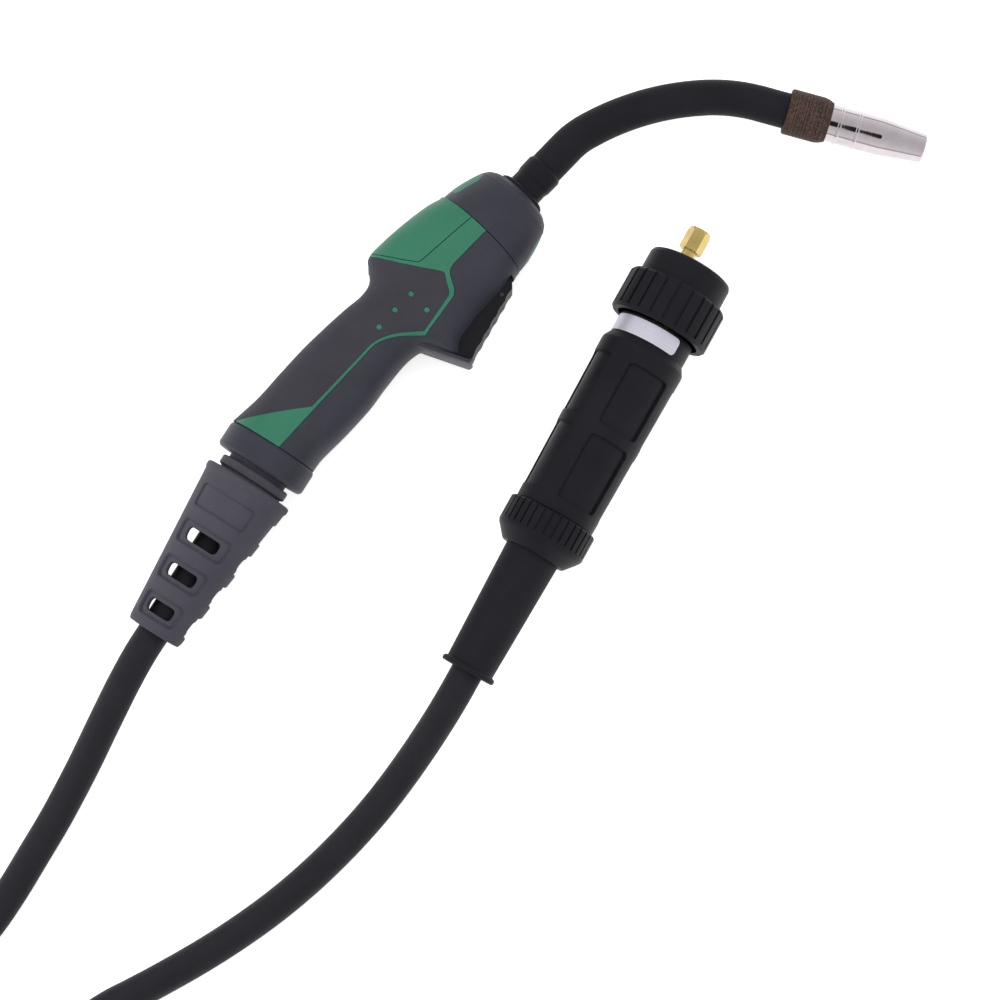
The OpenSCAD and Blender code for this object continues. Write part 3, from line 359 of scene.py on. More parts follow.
# Each plastic and rubber: colour, worn colour, how much of it, roughness from and to, grain size and depth, dust
moulded = {
    "greenShell": {"colour": (49, 112, 88), "worn": (69, 130, 107), "amount": 0.3, "rough": (0.42, 0.52),
                   "shine": 0.2, "grain": (1500, 0.22), "dust": 0.0},
    "darkShell": {"colour": (51, 51, 60), "worn": (68, 68, 78), "amount": 0.35, "rough": (0.46, 0.56),
                  "shine": 0.2, "grain": (1300, 0.3), "dust": 0.0},
    "softCover": {"colour": (54, 53, 60), "worn": (70, 69, 78), "amount": 0.35, "rough": (0.6, 0.72),
                  "shine": 0.18, "grain": (1700, 0.2), "dust": 0.1},
    "blackPlastic": {"colour": (22, 21, 26), "worn": (36, 35, 42), "amount": 0.35, "rough": (0.42, 0.54),
                     "shine": 0.13, "grain": (1200, 0.25), "dust": 0.05},
    "blackRubber": {"colour": (24, 23, 28), "worn": (38, 37, 43), "amount": 0.4, "rough": (0.55, 0.68),
                    "shine": 0.14, "grain": (1600, 0.25), "dust": 0.1},
    "bootRubber": {"colour": (68, 67, 76), "worn": (86, 85, 94), "amount": 0.4, "rough": (0.6, 0.72),
                   "shine": 0.2, "grain": (1500, 0.3), "dust": 0.3},
    "cableRubber": {"colour": (31, 30, 35), "worn": (44, 43, 49), "amount": 0.4, "rough": (0.5, 0.64),
                    "shine": 0.15, "grain": (1800, 0.22), "dust": 0.08},
    "triggerPlastic": {"colour": (22, 21, 25), "worn": (36, 36, 41), "amount": 0.4, "rough": (0.45, 0.58),
                       "shine": 0.14, "grain": (1500, 0.25), "dust": 0.0},
    "redPlastic": {"colour": (150, 40, 32), "worn": (170, 62, 52), "amount": 0.3, "rough": (0.35, 0.45),
                   "shine": 0.4, "grain": (1500, 0.1), "dust": 0.0},
}


def mouldedMaterial(name, v):
    material, tree, shader = newMaterial(name, srgb(*v["colour"]), v["rough"][0], Specular_IOR_Level=v["shine"])
    surface = place(tree, grain, {"Grain size": float(v["grain"][0]), "Depth": v["grain"][1]})
    specks = place(tree, dust, {"Amount": v["dust"]})
    mask = reckon(tree, "ADD", surface["Patches"], specks[0], clamp=True)
    tinted(tree, shader, mask, (v["colour"], v["worn"]), v["amount"], v["rough"], surface["Normal"])
    return material


# Each metal: colour, tarnish, roughness from and to, rings and their depth
metals = {
    "nickelPlate": {"colour": (200, 192, 196), "worn": (178, 169, 173), "rough": (0.07, 0.14), "axis": neckEndPlace,
                    "rings": (500, 0.05)},
    "turnedBrass": {"colour": (212, 188, 120), "worn": (168, 143, 88), "rough": (0.16, 0.3), "axis": plugPlace,
                    "rings": (900, 0.14)},
    "plainSteel": {"colour": (176, 176, 180), "worn": (150, 148, 146), "rough": (0.28, 0.42), "axis": swivelPlace,
                   "rings": (700, 0.1)},
    # Plain steel for the trigger's pin, its colour darkened as painted shade of the recess the pin sits in
    "shadeDarkenedSteel": {"colour": (84, 84, 90), "worn": (60, 60, 64), "rough": (0.3, 0.4), "axis": swivelPlace,
                   "rings": (700, 0.1)},
    "tipCopper": {"colour": (206, 132, 96), "worn": (160, 92, 66), "rough": (0.26, 0.4), "axis": neckEndPlace,
                  "rings": (800, 0.12)},
}


def metalMaterial(name, v):
    material, tree, shader = newMaterial(name, srgb(*v["colour"]), v["rough"][0], Metallic=1.0)
    axis = v["axis"].to_3x3() @ Vector((0, 0, 1))
    marks = place(tree, ringMarks, {"Axis": axis, "Rings": float(v["rings"][0]), "Depth": v["rings"][1]})
    surface = place(tree, grain, {"Grain size": 600.0, "Depth": 0.03, "Patch size": 120.0, "Patch spread": 0.4})
    tinted(tree, shader, surface["Patches"], (v["colour"], v["worn"]), 0.5, v["rough"], marks["Normal"])
    return material


def alongAxis(tree, axis):
    # The distance along an axis of the frame, in metres
    return add(tree, "ShaderNodeVectorMath", {0: inFrame(tree), 1: axis.to_3x3() @ Vector((0, 0, 1))},
               operation="DOT_PRODUCT").outputs["Value"]


def fibreMaterial():
    # Laid glass fibre in brown resin, turned to size: fine plies round the piece and short bright threads
    resin = srgb(66, 51, 46)
    material, tree, shader = newMaterial("laidFibre", resin, 0.6, Specular_IOR_Level=0.15)
    far = alongAxis(tree, neckEndPlace)
    plies = add(tree, "ShaderNodeTexNoise", {"W": far, "Scale": 1500.0, "Detail": 3.0, "Roughness": 0.7},
                noise_dimensions="1D")
    where = inFrame(tree)
    weave = add(tree, "ShaderNodeTexNoise",
                {"Vector": where, "W": far, "Scale": 900.0, "Detail": 4.0, "Roughness": 0.8}, noise_dimensions="4D")
    both = add(tree, "ShaderNodeMix", {0: 0.62, 2: plies.outputs[0], 3: weave.outputs[0]}).outputs[0]
    tone = add(tree, "ShaderNodeValToRGB", {0: both})
    stops = tone.color_ramp.elements
    stops[0].position, stops[0].color = 0.4, (*srgb(30, 23, 22), 1)
    stops[1].position, stops[1].color = 0.66, (*srgb(110, 88, 78), 1)
    stops.new(0.5).color = (*resin, 1)
    bump = add(tree, "ShaderNodeBump", {"Height": both, "Strength": 0.6, "Distance": 0.0003})
    feed(tree, shader, {"Base Color": tone.outputs[0], "Normal": bump.outputs[0]})
    return material


def labelMaterial():
    # Silver film with a faint streak round the plug
    material, tree, shader = newMaterial("silverFilm", srgb(205, 204, 212), 0.34, Metallic=0.35)
    streaks = add(tree, "ShaderNodeTexNoise", {"W": alongAxis(tree, plugPlace), "Scale": 1400.0, "Detail": 3.0},
                  noise_dimensions="1D")
    tinted(tree, shader, streaks.outputs[0], ((190, 188, 202), (210, 208, 220)), 1.0, (0.28, 0.42))
    return material


def strapMaterial():
    # Woven hook tape
    material, tree, shader = newMaterial("wovenStrap", srgb(42, 42, 46), 0.85)
    where = inFrame(tree)
    over, under = (add(tree, "ShaderNodeTexWave", {"Vector": where, "Scale": 700.0, "Distortion": 0.6},
                       bands_direction=way).outputs[1] for way in ("X", "Y"))
    weave = reckon(tree, "MULTIPLY", over, under)
    bump = add(tree, "ShaderNodeBump", {"Height": weave, "Strength": 0.6, "Distance": 0.0005})
    tinted(tree, shader, weave, ((34, 34, 38), (62, 62, 68)), 1.0, (0.85, 0.85), bump.outputs[0])
    return material


finishes = {name: mouldedMaterial(name, v) for name, v in moulded.items()}
finishes.update({name: metalMaterial(name, v) for name, v in metals.items()})
finishes["laidFibre"] = fibreMaterial()
finishes["silverFilm"] = labelMaterial()
finishes["wovenStrap"] = strapMaterial()
print("materials done,", len(finishes))


# ---- mesh helpers ----
def newPiece(name, mesh, body, finish, replaced=()):
    piece = bpy.data.objects.new(name, mesh)
    bpy.context.scene.collection.objects.link(piece)
    mesh.materials.clear()
    mesh.materials.append(finishes[finish])
    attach(piece, body)
    if replaced:
        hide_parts(*replaced)
    return piece


def closedMesh(name, points, faces):
    mesh = bpy.data.meshes.new(name)
    mesh.from_pydata(points, [], faces)
    work = bmesh.new()
    work.from_mesh(mesh)
    bmesh.ops.recalc_face_normals(work, faces=work.faces)
    work.to_mesh(mesh)
    work.free()
    return mesh


def smoothed(mesh, degrees=32):
    for face in mesh.polygons:
        face.use_smooth = True
    mesh.set_sharp_from_angle(angle=math.radians(degrees))
    return mesh


# ---- the cable ----
cableSet = {
    "coilAt": (-586.0, -144.0), "lanes": (81.8, 98.2), "section": 11.6, "middle": 17.8, "lift": 2.3,
    "enter": 84, "leave": 1422.3, "crossing": 84, "turnStep": 14, "crossingStep": 10, "between": 4,
    "sides": 28, "length": 2.87, "bootEnd": 109.9, "inBoot": 108.0, "straightOut": 12.0, "inPlug": 108.8,
    "torchRun": (
        (-285, -26.3, 25), (-299, -30.1, 21.2), (-314, -34.3, 16.6), (-330, -38.9, 12.1), (-346, -43.3, 9.3),
        (-362, -47.6, 8.3), (-380, -51.8, 8.2), (-400, -56.4, 8.2), (-420, -59.8, 8.2), (-440, -60.9, 8.2),
        (-460, -59.2, 8.2), (-480, -56.8, 8.2), (-500, -54.4, 8.2), (-520, -52.2, 8.4), (-540, -50.1, 8.8),
        (-560, -48, 9.3)),
    "plugRun": (
        (-190, -152.4, 22.4), (-204, -154.9, 16.2), (-218, -157, 11), (-233, -158.9, 8.6), (-250, -160.3, 8.2),
        (-270, -160.7, 8.2), (-292, -159.8, 8.2), (-315, -157.2, 8.2), (-338, -152.8, 8.2), (-360, -147.2, 8.2),
        (-382, -140.4, 8.2), (-396, -135.6, 8.4), (-408.2, -131.4, 9), (-425, -128, 11), (-442.3, -129, 14.6),
        (-458.6, -134.5, 18.6), (-473, -144, 22.2), (-484.4, -156.9, 24.9)),
}


def onFloor(x, y, z):
    # X and Y from the nose, Z from the floor
    return Vector(((x + nose.x) / 1000, (y + nose.y) / 1000, z / 1000))


def coilRoute(v):
    # Three turns and most of a fourth, that change lanes together in one short stretch
    points = []
    angle = v["enter"]
    middle = sum(v["lanes"]) / 2
    while angle <= v["leave"]:
        turn, into = divmod(angle - v["enter"], 360)
        crossing = min(max((into - (360 - v["crossing"])) / v["crossing"], 0), 1)
        share = crossing * crossing * (3 - 2 * crossing)
        lane = math.radians(-45 - 90 * (turn + share))
        radius = middle + v["section"] * math.cos(lane)
        a = math.radians(angle)
        points.append(onFloor(v["coilAt"][0] + radius * math.cos(a), v["coilAt"][1] + radius * math.sin(a),
                              v["middle"] + v["section"] * math.sin(lane) + v["lift"] * math.sin(math.pi * share)))
        angle += v["crossingStep"] if crossing else v["turnStep"]
    return points


def catmullRom(points, steps):
    # A smooth curve through the points
    out = []
    for i in range(len(points) - 1):
        a, b = points[max(i - 1, 0)], points[i]
        c, d = points[i + 1], points[min(i + 2, len(points) - 1)]
        for k in range(steps):
            t = k / steps
            out.append(0.5 * ((2 * b) + (c - a) * t + (2 * a - 5 * b + 4 * c - d) * t * t
                              + (3 * b - a - 3 * c + d) * t ** 3))
    return out + [points[-1]]


def tubeMesh(name, route, radius, sides):
    # A round tube along a route, with U round it and V along it in metres
    work = bmesh.new()
    uv = work.loops.layers.uv.new("along")
    rings, lengths, total = [], [], 0.0
    side = None
    for i, p in enumerate(route):
        ahead = (route[min(i + 1, len(route) - 1)] - route[max(i - 1, 0)]).normalized()
        side = Vector((0, 0, 1)).cross(ahead) if side is None else side - ahead * side.dot(ahead)
        side.normalize()
        up = ahead.cross(side)
        if i:
            total += (p - route[i - 1]).length
        lengths.append(total)
        rings.append([work.verts.new(p + radius * (math.cos(a) * side + math.sin(a) * up))
                      for a in (2 * math.pi * k / sides for k in range(sides))])
    for i in range(len(rings) - 1):
        for k in range(sides):
            n = (k + 1) % sides
            face = work.faces.new((rings[i][k], rings[i][n], rings[i + 1][n], rings[i + 1][k]))
            face.smooth = True
            for loop, (u, j) in zip(face.loops, ((k, i), (k + 1, i), (k + 1, i + 1), (k, i + 1))):
                loop[uv].uv = (2 * math.pi * radius * u / sides, lengths[j])
    work.faces.new(list(reversed(rings[0])))
    work.faces.new(rings[-1])
    mesh = bpy.data.meshes.new(name)
    work.to_mesh(mesh)
    work.free()
    return mesh, total


def along(placeMatrix, distance, x=0.0, y=0.0):
    return (placeMatrix @ Vector((x, y, distance))) / 1000


bootTail = along(ringPlace, cableSet["bootEnd"])
cableRoute = catmullRom(
    [along(ringPlace, cableSet["inBoot"]), bootTail,
     along(ringPlace, cableSet["bootEnd"] + cableSet["straightOut"])]
    + [onFloor(*p) for p in cableSet["torchRun"]] + coilRoute(cableSet)
    + [onFloor(*p) for p in reversed(cableSet["plugRun"])]
    + [along(plugPlace, -cableSet["straightOut"]), along(plugPlace, 0)]
    + [along(plugPlace, cableSet["inPlug"] * k / 6) for k in range(1, 7)], cableSet["between"])
cableMesh, cableLength = tubeMesh("cable", cableRoute, places["cable"] / 1000, cableSet["sides"])
cable = newPiece("cable", cableMesh, "handle", "cableRubber",
                 ("cable_torch_run", "cable_coil", "cable_plug_run", "plug_cable_end"))
print("cable done, %.3f m" % cableLength)

# ---- shaping helpers ----
def prism(outline, low, high, at=None):
    # An outline in mm drawn along Z
    count = len(outline)
    points = [Vector((x, y, z)) for z in (low, high) for x, y in outline]
    points = [(at @ p if at else p + nose) / 1000 for p in points]
    faces = [list(range(count)), list(range(2 * count - 1, count - 1, -1))]
    faces += [(k, k + count, (k + 1) % count + count, (k + 1) % count) for k in range(count)]
    return closedMesh("prism", points, faces)


def drum(at, radius, low, high, sides=40):
    return prism([(radius * math.cos(2 * math.pi * k / sides), radius * math.sin(2 * math.pi * k / sides))
                  for k in range(sides)], low, high, at)


def changed(mesh, kind, **settings):
    # The mesh after one modifier
    holder = bpy.data.objects.new("work", mesh)
    bpy.context.scene.collection.objects.link(holder)
    modifier = holder.modifiers.new("work", kind)
    for key, value in settings.items():
        setattr(modifier, key, value)
    ready = bpy.data.meshes.new_from_object(holder.evaluated_get(bpy.context.evaluated_depsgraph_get()))
    bpy.data.objects.remove(holder)
    return ready


def combined(mesh, other, how):
    cutter = bpy.data.objects.new("cutter", other)
    bpy.context.scene.collection.objects.link(cutter)
    ready = changed(mesh, "BOOLEAN", object=cutter, operation=how, solver="EXACT")
    bpy.data.objects.remove(cutter)
    return ready


def less(mesh, *others):
    for other in others:
        mesh = combined(mesh, other, "DIFFERENCE")
    return mesh


def common(mesh, other):
    return combined(mesh, other, "INTERSECT")


def joined(mesh, *others):
    for other in others:
        mesh = combined(mesh, other, "UNION")
    return mesh


def gathered(meshes):
    # Blocks that don't touch, as one mesh
    whole = bmesh.new()
    for mesh in meshes:
        whole.from_mesh(mesh)
    mesh = bpy.data.meshes.new("gathered")
    whole.to_mesh(mesh)
    whole.free()
    return mesh


def drawnIn(outline, amount):
    # The outline with every side moved in by the amount
    area = sum(a[0] * b[1] - b[0] * a[1] for a, b in zip(outline, outline[1:] + outline[:1]))
    turn = 1 if area > 0 else -1
    out = []
    for k, point in enumerate(outline):
        before, after = Vector(outline[k - 1]), Vector(outline[(k + 1) % len(outline)])
        point = Vector(point)
        one, two = (point - before).normalized(), (after - point).normalized()
        sides = [Vector((-d.y, d.x)) * turn for d in (one, two)]
        way = (sides[0] + sides[1]).normalized()
        out.append(tuple(point + way * amount / max(way.dot(sides[0]), 0.35)))
    return out


# ---- the handle ----
handleSet = {
    # Each section: place along X, top, bottom, half width and squareness
    "sections": (
        (-1.4, 27.23, -26.7, 26.5, 2.05), (-8.99, 29.67, -28.4, 26.2, 2.15), (-19.14, 31.32, -29.6, 25.4, 2.3),
        (-30.16, 32.51, -29.4, 24.2, 2.45), (-40.02, 33.17, -30.6, 23.0, 2.5), (-45.82, 33.3, -31.4, 22.3, 2.5),
        (-49.88, 32.3, -33.3, 21.8, 2.45), (-53.94, 27.65, -36.5, 21.3, 2.4), (-58.0, 23.58, -30.5, 20.8, 2.35),
        (-61.7, 22.3, -22.3, 20.2, 2.3), (-66.33, 22.0, -18.6, 19.9, 2.3), (-74.67, 23.0, -17.6, 19.6, 2.3),
        (-90.41, 24.1, -18.9, 19.6, 2.3), (-105.23, 24.6, -20.7, 20.2, 2.3), (-121.89, 24.2, -21.1, 21.15, 2.25),
        (-137.64, 23.6, -20.7, 22.33, 2.15), (-147.82, 24.2, -22.1, 23.3, 2.05), (-158.01, 25.0, -24.7, 24.8, 2.0)),
    "sides": 96, "spacing": 1.6, "wall": 2.6, "cover": 1.6, "past": 60, "gap": 0.24, "bush": 14.0,
    "hoodGap": 0.384, "low": (-59.16, -17.7), "flat": (-82.08, -2.6),
    "dots": ((-49.47, 1.4), (-60.59, 1.9), (-72.17, 1.8), (-49.82, -9.7)), "dotRadius": 1.35, "dotProud": 0.12,
    "dotDeep": 3.0, "dotGap": 0.08, "dotEdge": 0.00015,
    "tabAt": (-52.32, 29.98), "tabSlope": 46, "tabRadius": 3.8, "tabDeep": 5, "tabGap": 0.15,
    "screwHead": 1.3, "screwHole": 2.9, "collarHole": 10.1, "collarReach": (-47, -17),
    "guardRoot": (-64.21, -18.4), "guardAhead": (0.409, -0.913), "guardSide": (0.913, 0.409), "guardThick": 1.9,
    "guardDrop": 42.3, "guardHalf": 11.7, "guardTurn": 24, "guardEdge": 0.0005, "pivot": (-16.9, -29.7),
    "pin": 1.0, "triggerWidth": 19.0, "triggerGap": 0.4, "triggerRear": -52.78,
    "switchAt": (-33.5, -20.6), "switchSize": (20.0, 10.2), "ribThick": 2.0, "ribGap": 0.1, "wireSlot": 2.2,
    "bushFloor": 2.3, "floorThick": 2.2,
}


def easedSections(rows, spacing):
    # Sections between the given ones, on curves that don't overshoot
    slopes = []
    for column in range(1, 5):
        steps = [(b[column] - a[column]) / (b[0] - a[0]) for a, b in zip(rows, rows[1:])]
        inner = [0 if a * b <= 0 else 2 * a * b / (a + b) for a, b in zip(steps, steps[1:])]
        slopes.append([steps[0]] + inner + [steps[-1]])
    out = []
    for k, (a, b) in enumerate(zip(rows, rows[1:])):
        count = max(1, round(abs(b[0] - a[0]) / spacing))
        for j in range(count):
            t, h = j / count, b[0] - a[0]
            out.append([a[0] + h * t] + [
                (2 * t ** 3 - 3 * t * t + 1) * a[c] + (t ** 3 - 2 * t * t + t) * h * slopes[c - 1][k]
                + (3 * t * t - 2 * t ** 3) * b[c] + (t ** 3 - t * t) * h * slopes[c - 1][k + 1]
                for c in range(1, 5)])
    return out + [list(rows[-1])]


handleRows = easedSections(handleSet["sections"], handleSet["spacing"])


def handleForm(inset=0.0, front=0.0, back=0.0):
    # The whole handle's shape, drawn in by the inset and by front and back at its ends
    count = handleSet["sides"]
    points = []
    ahead, behind = handleRows[0][0] - front, handleRows[-1][0] + back
    rows = [row for row in handleRows if behind + 0.2 < row[0] < ahead - 0.2]
    rows = [[ahead] + rows[0][1:]] + rows + [[behind] + rows[-1][1:]]
    for x, top, bottom, half, power in rows:
        middle, tall, wide = (top + bottom) / 2, (top - bottom) / 2 - inset, half - inset
        for j in range(count):
            a = 2 * math.pi * (j + 0.5) / count
            c, d = math.cos(a), math.sin(a)
            points.append(mm(x, middle + tall * math.copysign(abs(c) ** (2 / power), c),
                             wide * math.copysign(abs(d) ** (2 / power), d)))
    faces = [list(range(count)), list(range(len(points) - 1, len(points) - count - 1, -1))]
    for i in range(len(rows) - 1):
        for j in range(count):
            a, b = i * count + j, i * count + (j + 1) % count
            faces.append((a, a + count, b + count, b))
    return closedMesh("form", points, faces)


def ringLine(y):
    # Where the rear ring's tilted face is at a height
    return places["ring"][0] - (y - places["ring"][1]) * math.tan(math.radians(places["ringTilt"]))


def sweepLine(low, flat):
    # The lines' curve from the throat up to the grip's middle
    return [(low[0] + (flat[0] - low[0]) * k / 12, flat[1] + (low[1] - flat[1]) * (1 - k / 12) ** 1.8)
            for k in range(13)]


lowPoint, flatPoint = handleSet["low"], handleSet["flat"]
partingLine = [(5, -4.4), (-24.65, -3.8), (-27.4, -4.5), (-29.3, -6.2), (-31.2, -9.6), (-33.2, -12.9),
               (-35.6, -14.6), (-55.68, -17.2)]
partingLine += sweepLine(lowPoint, flatPoint) + [(-120.04, -3.5), (ringLine(-4.5), -4.5)]
coverLine = ([(-48.14, 40), (-48.14, 30.4), (-45.4, 23.6), (-41.76, 16.2), (-36.2, 6.4), (-31.4, -1.2),
              (-30.6, -2.9), (-30.9, -4.2), (-32.77, -6.8), (-35.3, -11.2), (-37.2, -12.7), (-55.1, -15.4)]
             + sweepLine((lowPoint[0] + 0.9, lowPoint[1] + 2.1), (flatPoint[0], flatPoint[1] + 1.3))
             + [(-123.75, -1.9), (ringLine(22.3), 22.3), (ringLine(22.8), 22.8), (ringLine(40), 40)])
hoodLine = [(5, 5), (-34.2, 9), (-35.6, 9.6), (-36.6, 10.9), (-40.6, 17.5), (-44.1, 24.4), (-46.98, 30.7),
            (-46.98, 40), (5, 40)]


def surfaceHeight(x, y, inset=0.0):
    # Half the form's width at a place of its side view
    rows = sorted(handleRows, key=lambda row: abs(row[0] - x))[:2]
    near, far = rows
    t = (x - near[0]) / (far[0] - near[0])
    top, bottom, half, power = (near[c] + (far[c] - near[c]) * t for c in range(1, 5))
    share = abs((y - (top + bottom) / 2) / ((top - bottom) / 2 - inset))
    return (half - inset) * (1 - min(share, 1) ** power) ** (1 / power)


def dotDrums(v, wider=0.0, low=-3.0, high=8.0):
    # The eight dots, which pass through the cover from the shell
    drums = []
    for x, y in v["dots"]:
        for side in (-1, 1):
            at = Matrix.Translation(nose + Vector((x, y, 0))) @ Matrix.Scale(side, 4, (0, 0, 1))
            z = surfaceHeight(x, y)
            drums.append(drum(at, v["dotRadius"] + wider, z + low, z + high, 28))
    return drums


def tabPlace(v):
    return axisPlace(*v["tabAt"], 180 - v["tabSlope"])


def shadedLike(mesh, degrees=34):
    work = bmesh.new()
    work.from_mesh(mesh)
    bmesh.ops.remove_doubles(work, verts=work.verts, dist=2e-6)
    bmesh.ops.dissolve_degenerate(work, edges=work.edges, dist=2e-6)
    work.to_mesh(mesh)
    work.free()
    return smoothed(mesh, degrees)


def slab(outline):
    # A block through the whole handle, cut to an outline of its side view
    return prism(outline, -handleSet["past"], handleSet["past"])


def bushBore(v):
    return drum(swivelPlace, v["bush"], -50, 10, 64)


def makeCover(v):
    mesh = common(handleForm(), slab(drawnIn(coverLine, v["gap"] / 2)))
    mesh = less(mesh, handleForm(v["cover"], v["cover"], -4), *dotDrums(v, v["dotGap"]),
                drum(tabPlace(v), v["tabRadius"] + v["tabGap"], -6, 4))
    return newPiece("softGrip", shadedLike(mesh), "handle", "softCover", ("grip_overmould",))


def makeHood(v):
    mesh = common(handleForm(), slab(drawnIn(hoodLine, v["hoodGap"])))
    mesh = less(mesh, handleForm(v["wall"], v["wall"]), bushBore(v))
    return newPiece("hood", shadedLike(mesh), "handle", "greenShell", ("hood_cover",))


def makeUpperShell(v):
    # The shell lies under the cover and shows round it
    top = partingLine + [(ringLine(60), 60), (1, 60)]
    covered = coverLine[:-3] + [(ringLine(22.3), 22.3), (ringLine(22.8) - 4, 22.8), (ringLine(40) - 4, 40)]
    mesh = common(handleForm(), slab(drawnIn(top, v["gap"] / 2)))
    mesh = less(mesh, handleForm(v["wall"] + v["cover"], v["wall"], -4), slab(hoodLine))
    skin = less(common(handleForm(-3.0, -3.0, -3.0), slab(covered)), handleForm(v["cover"], v["cover"], -8))
    mesh = less(mesh, skin)
    tab = less(drum(tabPlace(v), v["tabRadius"], -v["tabDeep"], -0.3),
               drum(tabPlace(v), v["screwHole"], -0.4 - v["screwHead"], 6))
    mesh = less(joined(mesh, tab), bushBore(v), *dotDrums(v))
    return newPiece("upperShell", shadedLike(mesh), "handle", "greenShell", ("handle_upper_shell",))


def guardAxes(v):
    return [Vector(v[k]) for k in ("guardRoot", "guardAhead", "guardSide")]


def guardIn(v, far):
    # A point on the blade's face towards the trigger
    root, ahead, side = guardAxes(v)
    return root + ahead * far + side * v["guardThick"]


def makeGuard(v, far):
    # A flat blade behind the trigger, wide at its root and narrower at the tip
    root, ahead, side = guardAxes(v)
    tip, half = root + ahead * far, v["guardHalf"]
    blade = prism([tuple(p) for p in (
        root - 2 * ahead, tip - 0.8 * ahead, tip + 0.7 * side, guardIn(v, far + 0.6),
        guardIn(v, far + 0.6) + 0.6 * side, guardIn(v, far - 2), guardIn(v, 10), guardIn(v, 4) + 4 * side)],
        -40, 40)
    at = (Matrix.Translation(nose + Vector((*v["guardRoot"], 0)))
          @ Matrix.Rotation(math.radians(v["guardTurn"]), 4, "Z") @ Matrix.Rotation(math.radians(90), 4, "X"))
    sheet = prism([(-30, half - 5), (-4, half - 0.4), (3, half), (30, half), (30, -half), (3, -half),
                   (-4, 0.4 - half), (-30, 5 - half)], -30, 60, at)
    return changed(common(blade, sheet), "BEVEL", width=v["guardEdge"], segments=2, limit_method="ANGLE")


def makeLowerShell(v):
    root, ahead, side = guardAxes(v)
    far = (v["guardDrop"] + root.y) / -ahead.y
    low = partingLine + [(ringLine(-60), -60), (1, -60)]
    mesh = joined(common(handleForm(), slab(drawnIn(low, v["gap"] / 2))), makeGuard(v, far))
    gap, top = v["triggerWidth"] / 2 + v["triggerGap"], v["switchAt"][1] - v["triggerGap"]
    px, py = v["pivot"]
    past = guardIn(v, far + 1)
    well = prism([(px + 10.6, -80), (px + 10.6, top), (v["triggerRear"], top), tuple(guardIn(v, 11)),
                  tuple(past), (past.x, past.y - 30)], -gap, gap)
    mesh = less(mesh, handleForm(v["wall"], v["wall"], -4), well)
    floorAt = -v["bush"] - v["bushFloor"]
    # The saddle of the trigger's pin, and the switch's ribs with a slot for its wires
    lug = prism([(px - 2.8, py - 0.6), (px + 1.2, py - 0.6), (px + 2.8, py + 0.4), (px + 3.6, py + 2),
                 (px + 5, floorAt - 0.6), (px - 6, floorAt - 0.6), (px - 3.6, py + 2)], -4, 1)
    inner = common(handleForm(v["wall"] / 2, v["wall"] / 2), slab(drawnIn(low, v["gap"])))
    switchX, switchY = v["switchAt"]
    long, tall = v["switchSize"]
    thick, loose = v["ribThick"], v["ribGap"]
    ribs = [slab([(x, switchY), (x + thick, switchY), (x + thick, switchY + tall), (x, switchY + tall)])
            for x in (switchX - long / 2 - thick - loose, switchX + long / 2 + loose)]
    slot = prism([(switchX - long, switchY + 1.6), (switchX + long, switchY + 1.6),
                  (switchX + long, switchY + tall + 1), (switchX - long, switchY + tall + 1)],
                 -v["wireSlot"], v["wireSlot"])
    back, under = switchX + long / 2 + 0.3, floorAt - v["floorThick"]
    floorSlab = slab([(back, under), (0, under), (0, floorAt), (back, floorAt)])
    pinHole = drum(Matrix.Translation(nose + Vector((px, py, 0))), v["pin"], -20, 20)
    mesh = joined(mesh, lug, common(less(joined(*ribs), slot), inner), common(floorSlab, inner))
    mesh = less(mesh, bushBore(v), drum(swivelPlace, v["collarHole"], *v["collarReach"], 48), pinHole)
    return newPiece("lowerShell", shadedLike(mesh), "handle", "darkShell", ("handle_lower_shell",))


def makeDots(v):
    dots = [changed(d, "BEVEL", width=v["dotEdge"], segments=2, limit_method="ANGLE")
            for d in dotDrums(v, -0.02, -v["dotDeep"], v["dotProud"])]
    return newPiece("gripDots", smoothed(gathered(dots)), "handle", "greenShell", ("accent_dots",))


makeCover(handleSet)
makeHood(handleSet)
makeUpperShell(handleSet)
makeLowerShell(handleSet)
makeDots(handleSet)
print("handle done")

# ---- pieces turned round an axis ----
def rounded(profile, radius, steps=4):
    # The closed profile with its corners rounded
    out = []
    for k, point in enumerate(profile):
        here, before, after = (Vector(p) for p in (point, profile[k - 1], profile[(k + 1) % len(profile)]))
        one, two = before - here, after - here
        reach = min(radius, one.length * 0.45, two.length * 0.45)
        start, end = here + one.normalized() * reach, here + two.normalized() * reach
        for j in range(steps + 1):
            t = j / steps
            out.append(start.lerp(here, t).lerp(here.lerp(end, t), t))
    return out


def turned(profile, at, sides=96):
    # A closed profile of radius and distance in mm, turned round Z
    count = len(profile)
    turns = [2 * math.pi * k / sides for k in range(sides)]
    points = [at @ Vector((r * math.cos(a), r * math.sin(a), z)) / 1000 for a in turns for r, z in profile]
    faces = [(i * count + k, i * count + (k + 1) % count, (i + 1) % sides * count + (k + 1) % count,
              (i + 1) % sides * count + k) for i in range(sides) for k in range(count)]
    return closedMesh("turned", points, faces)


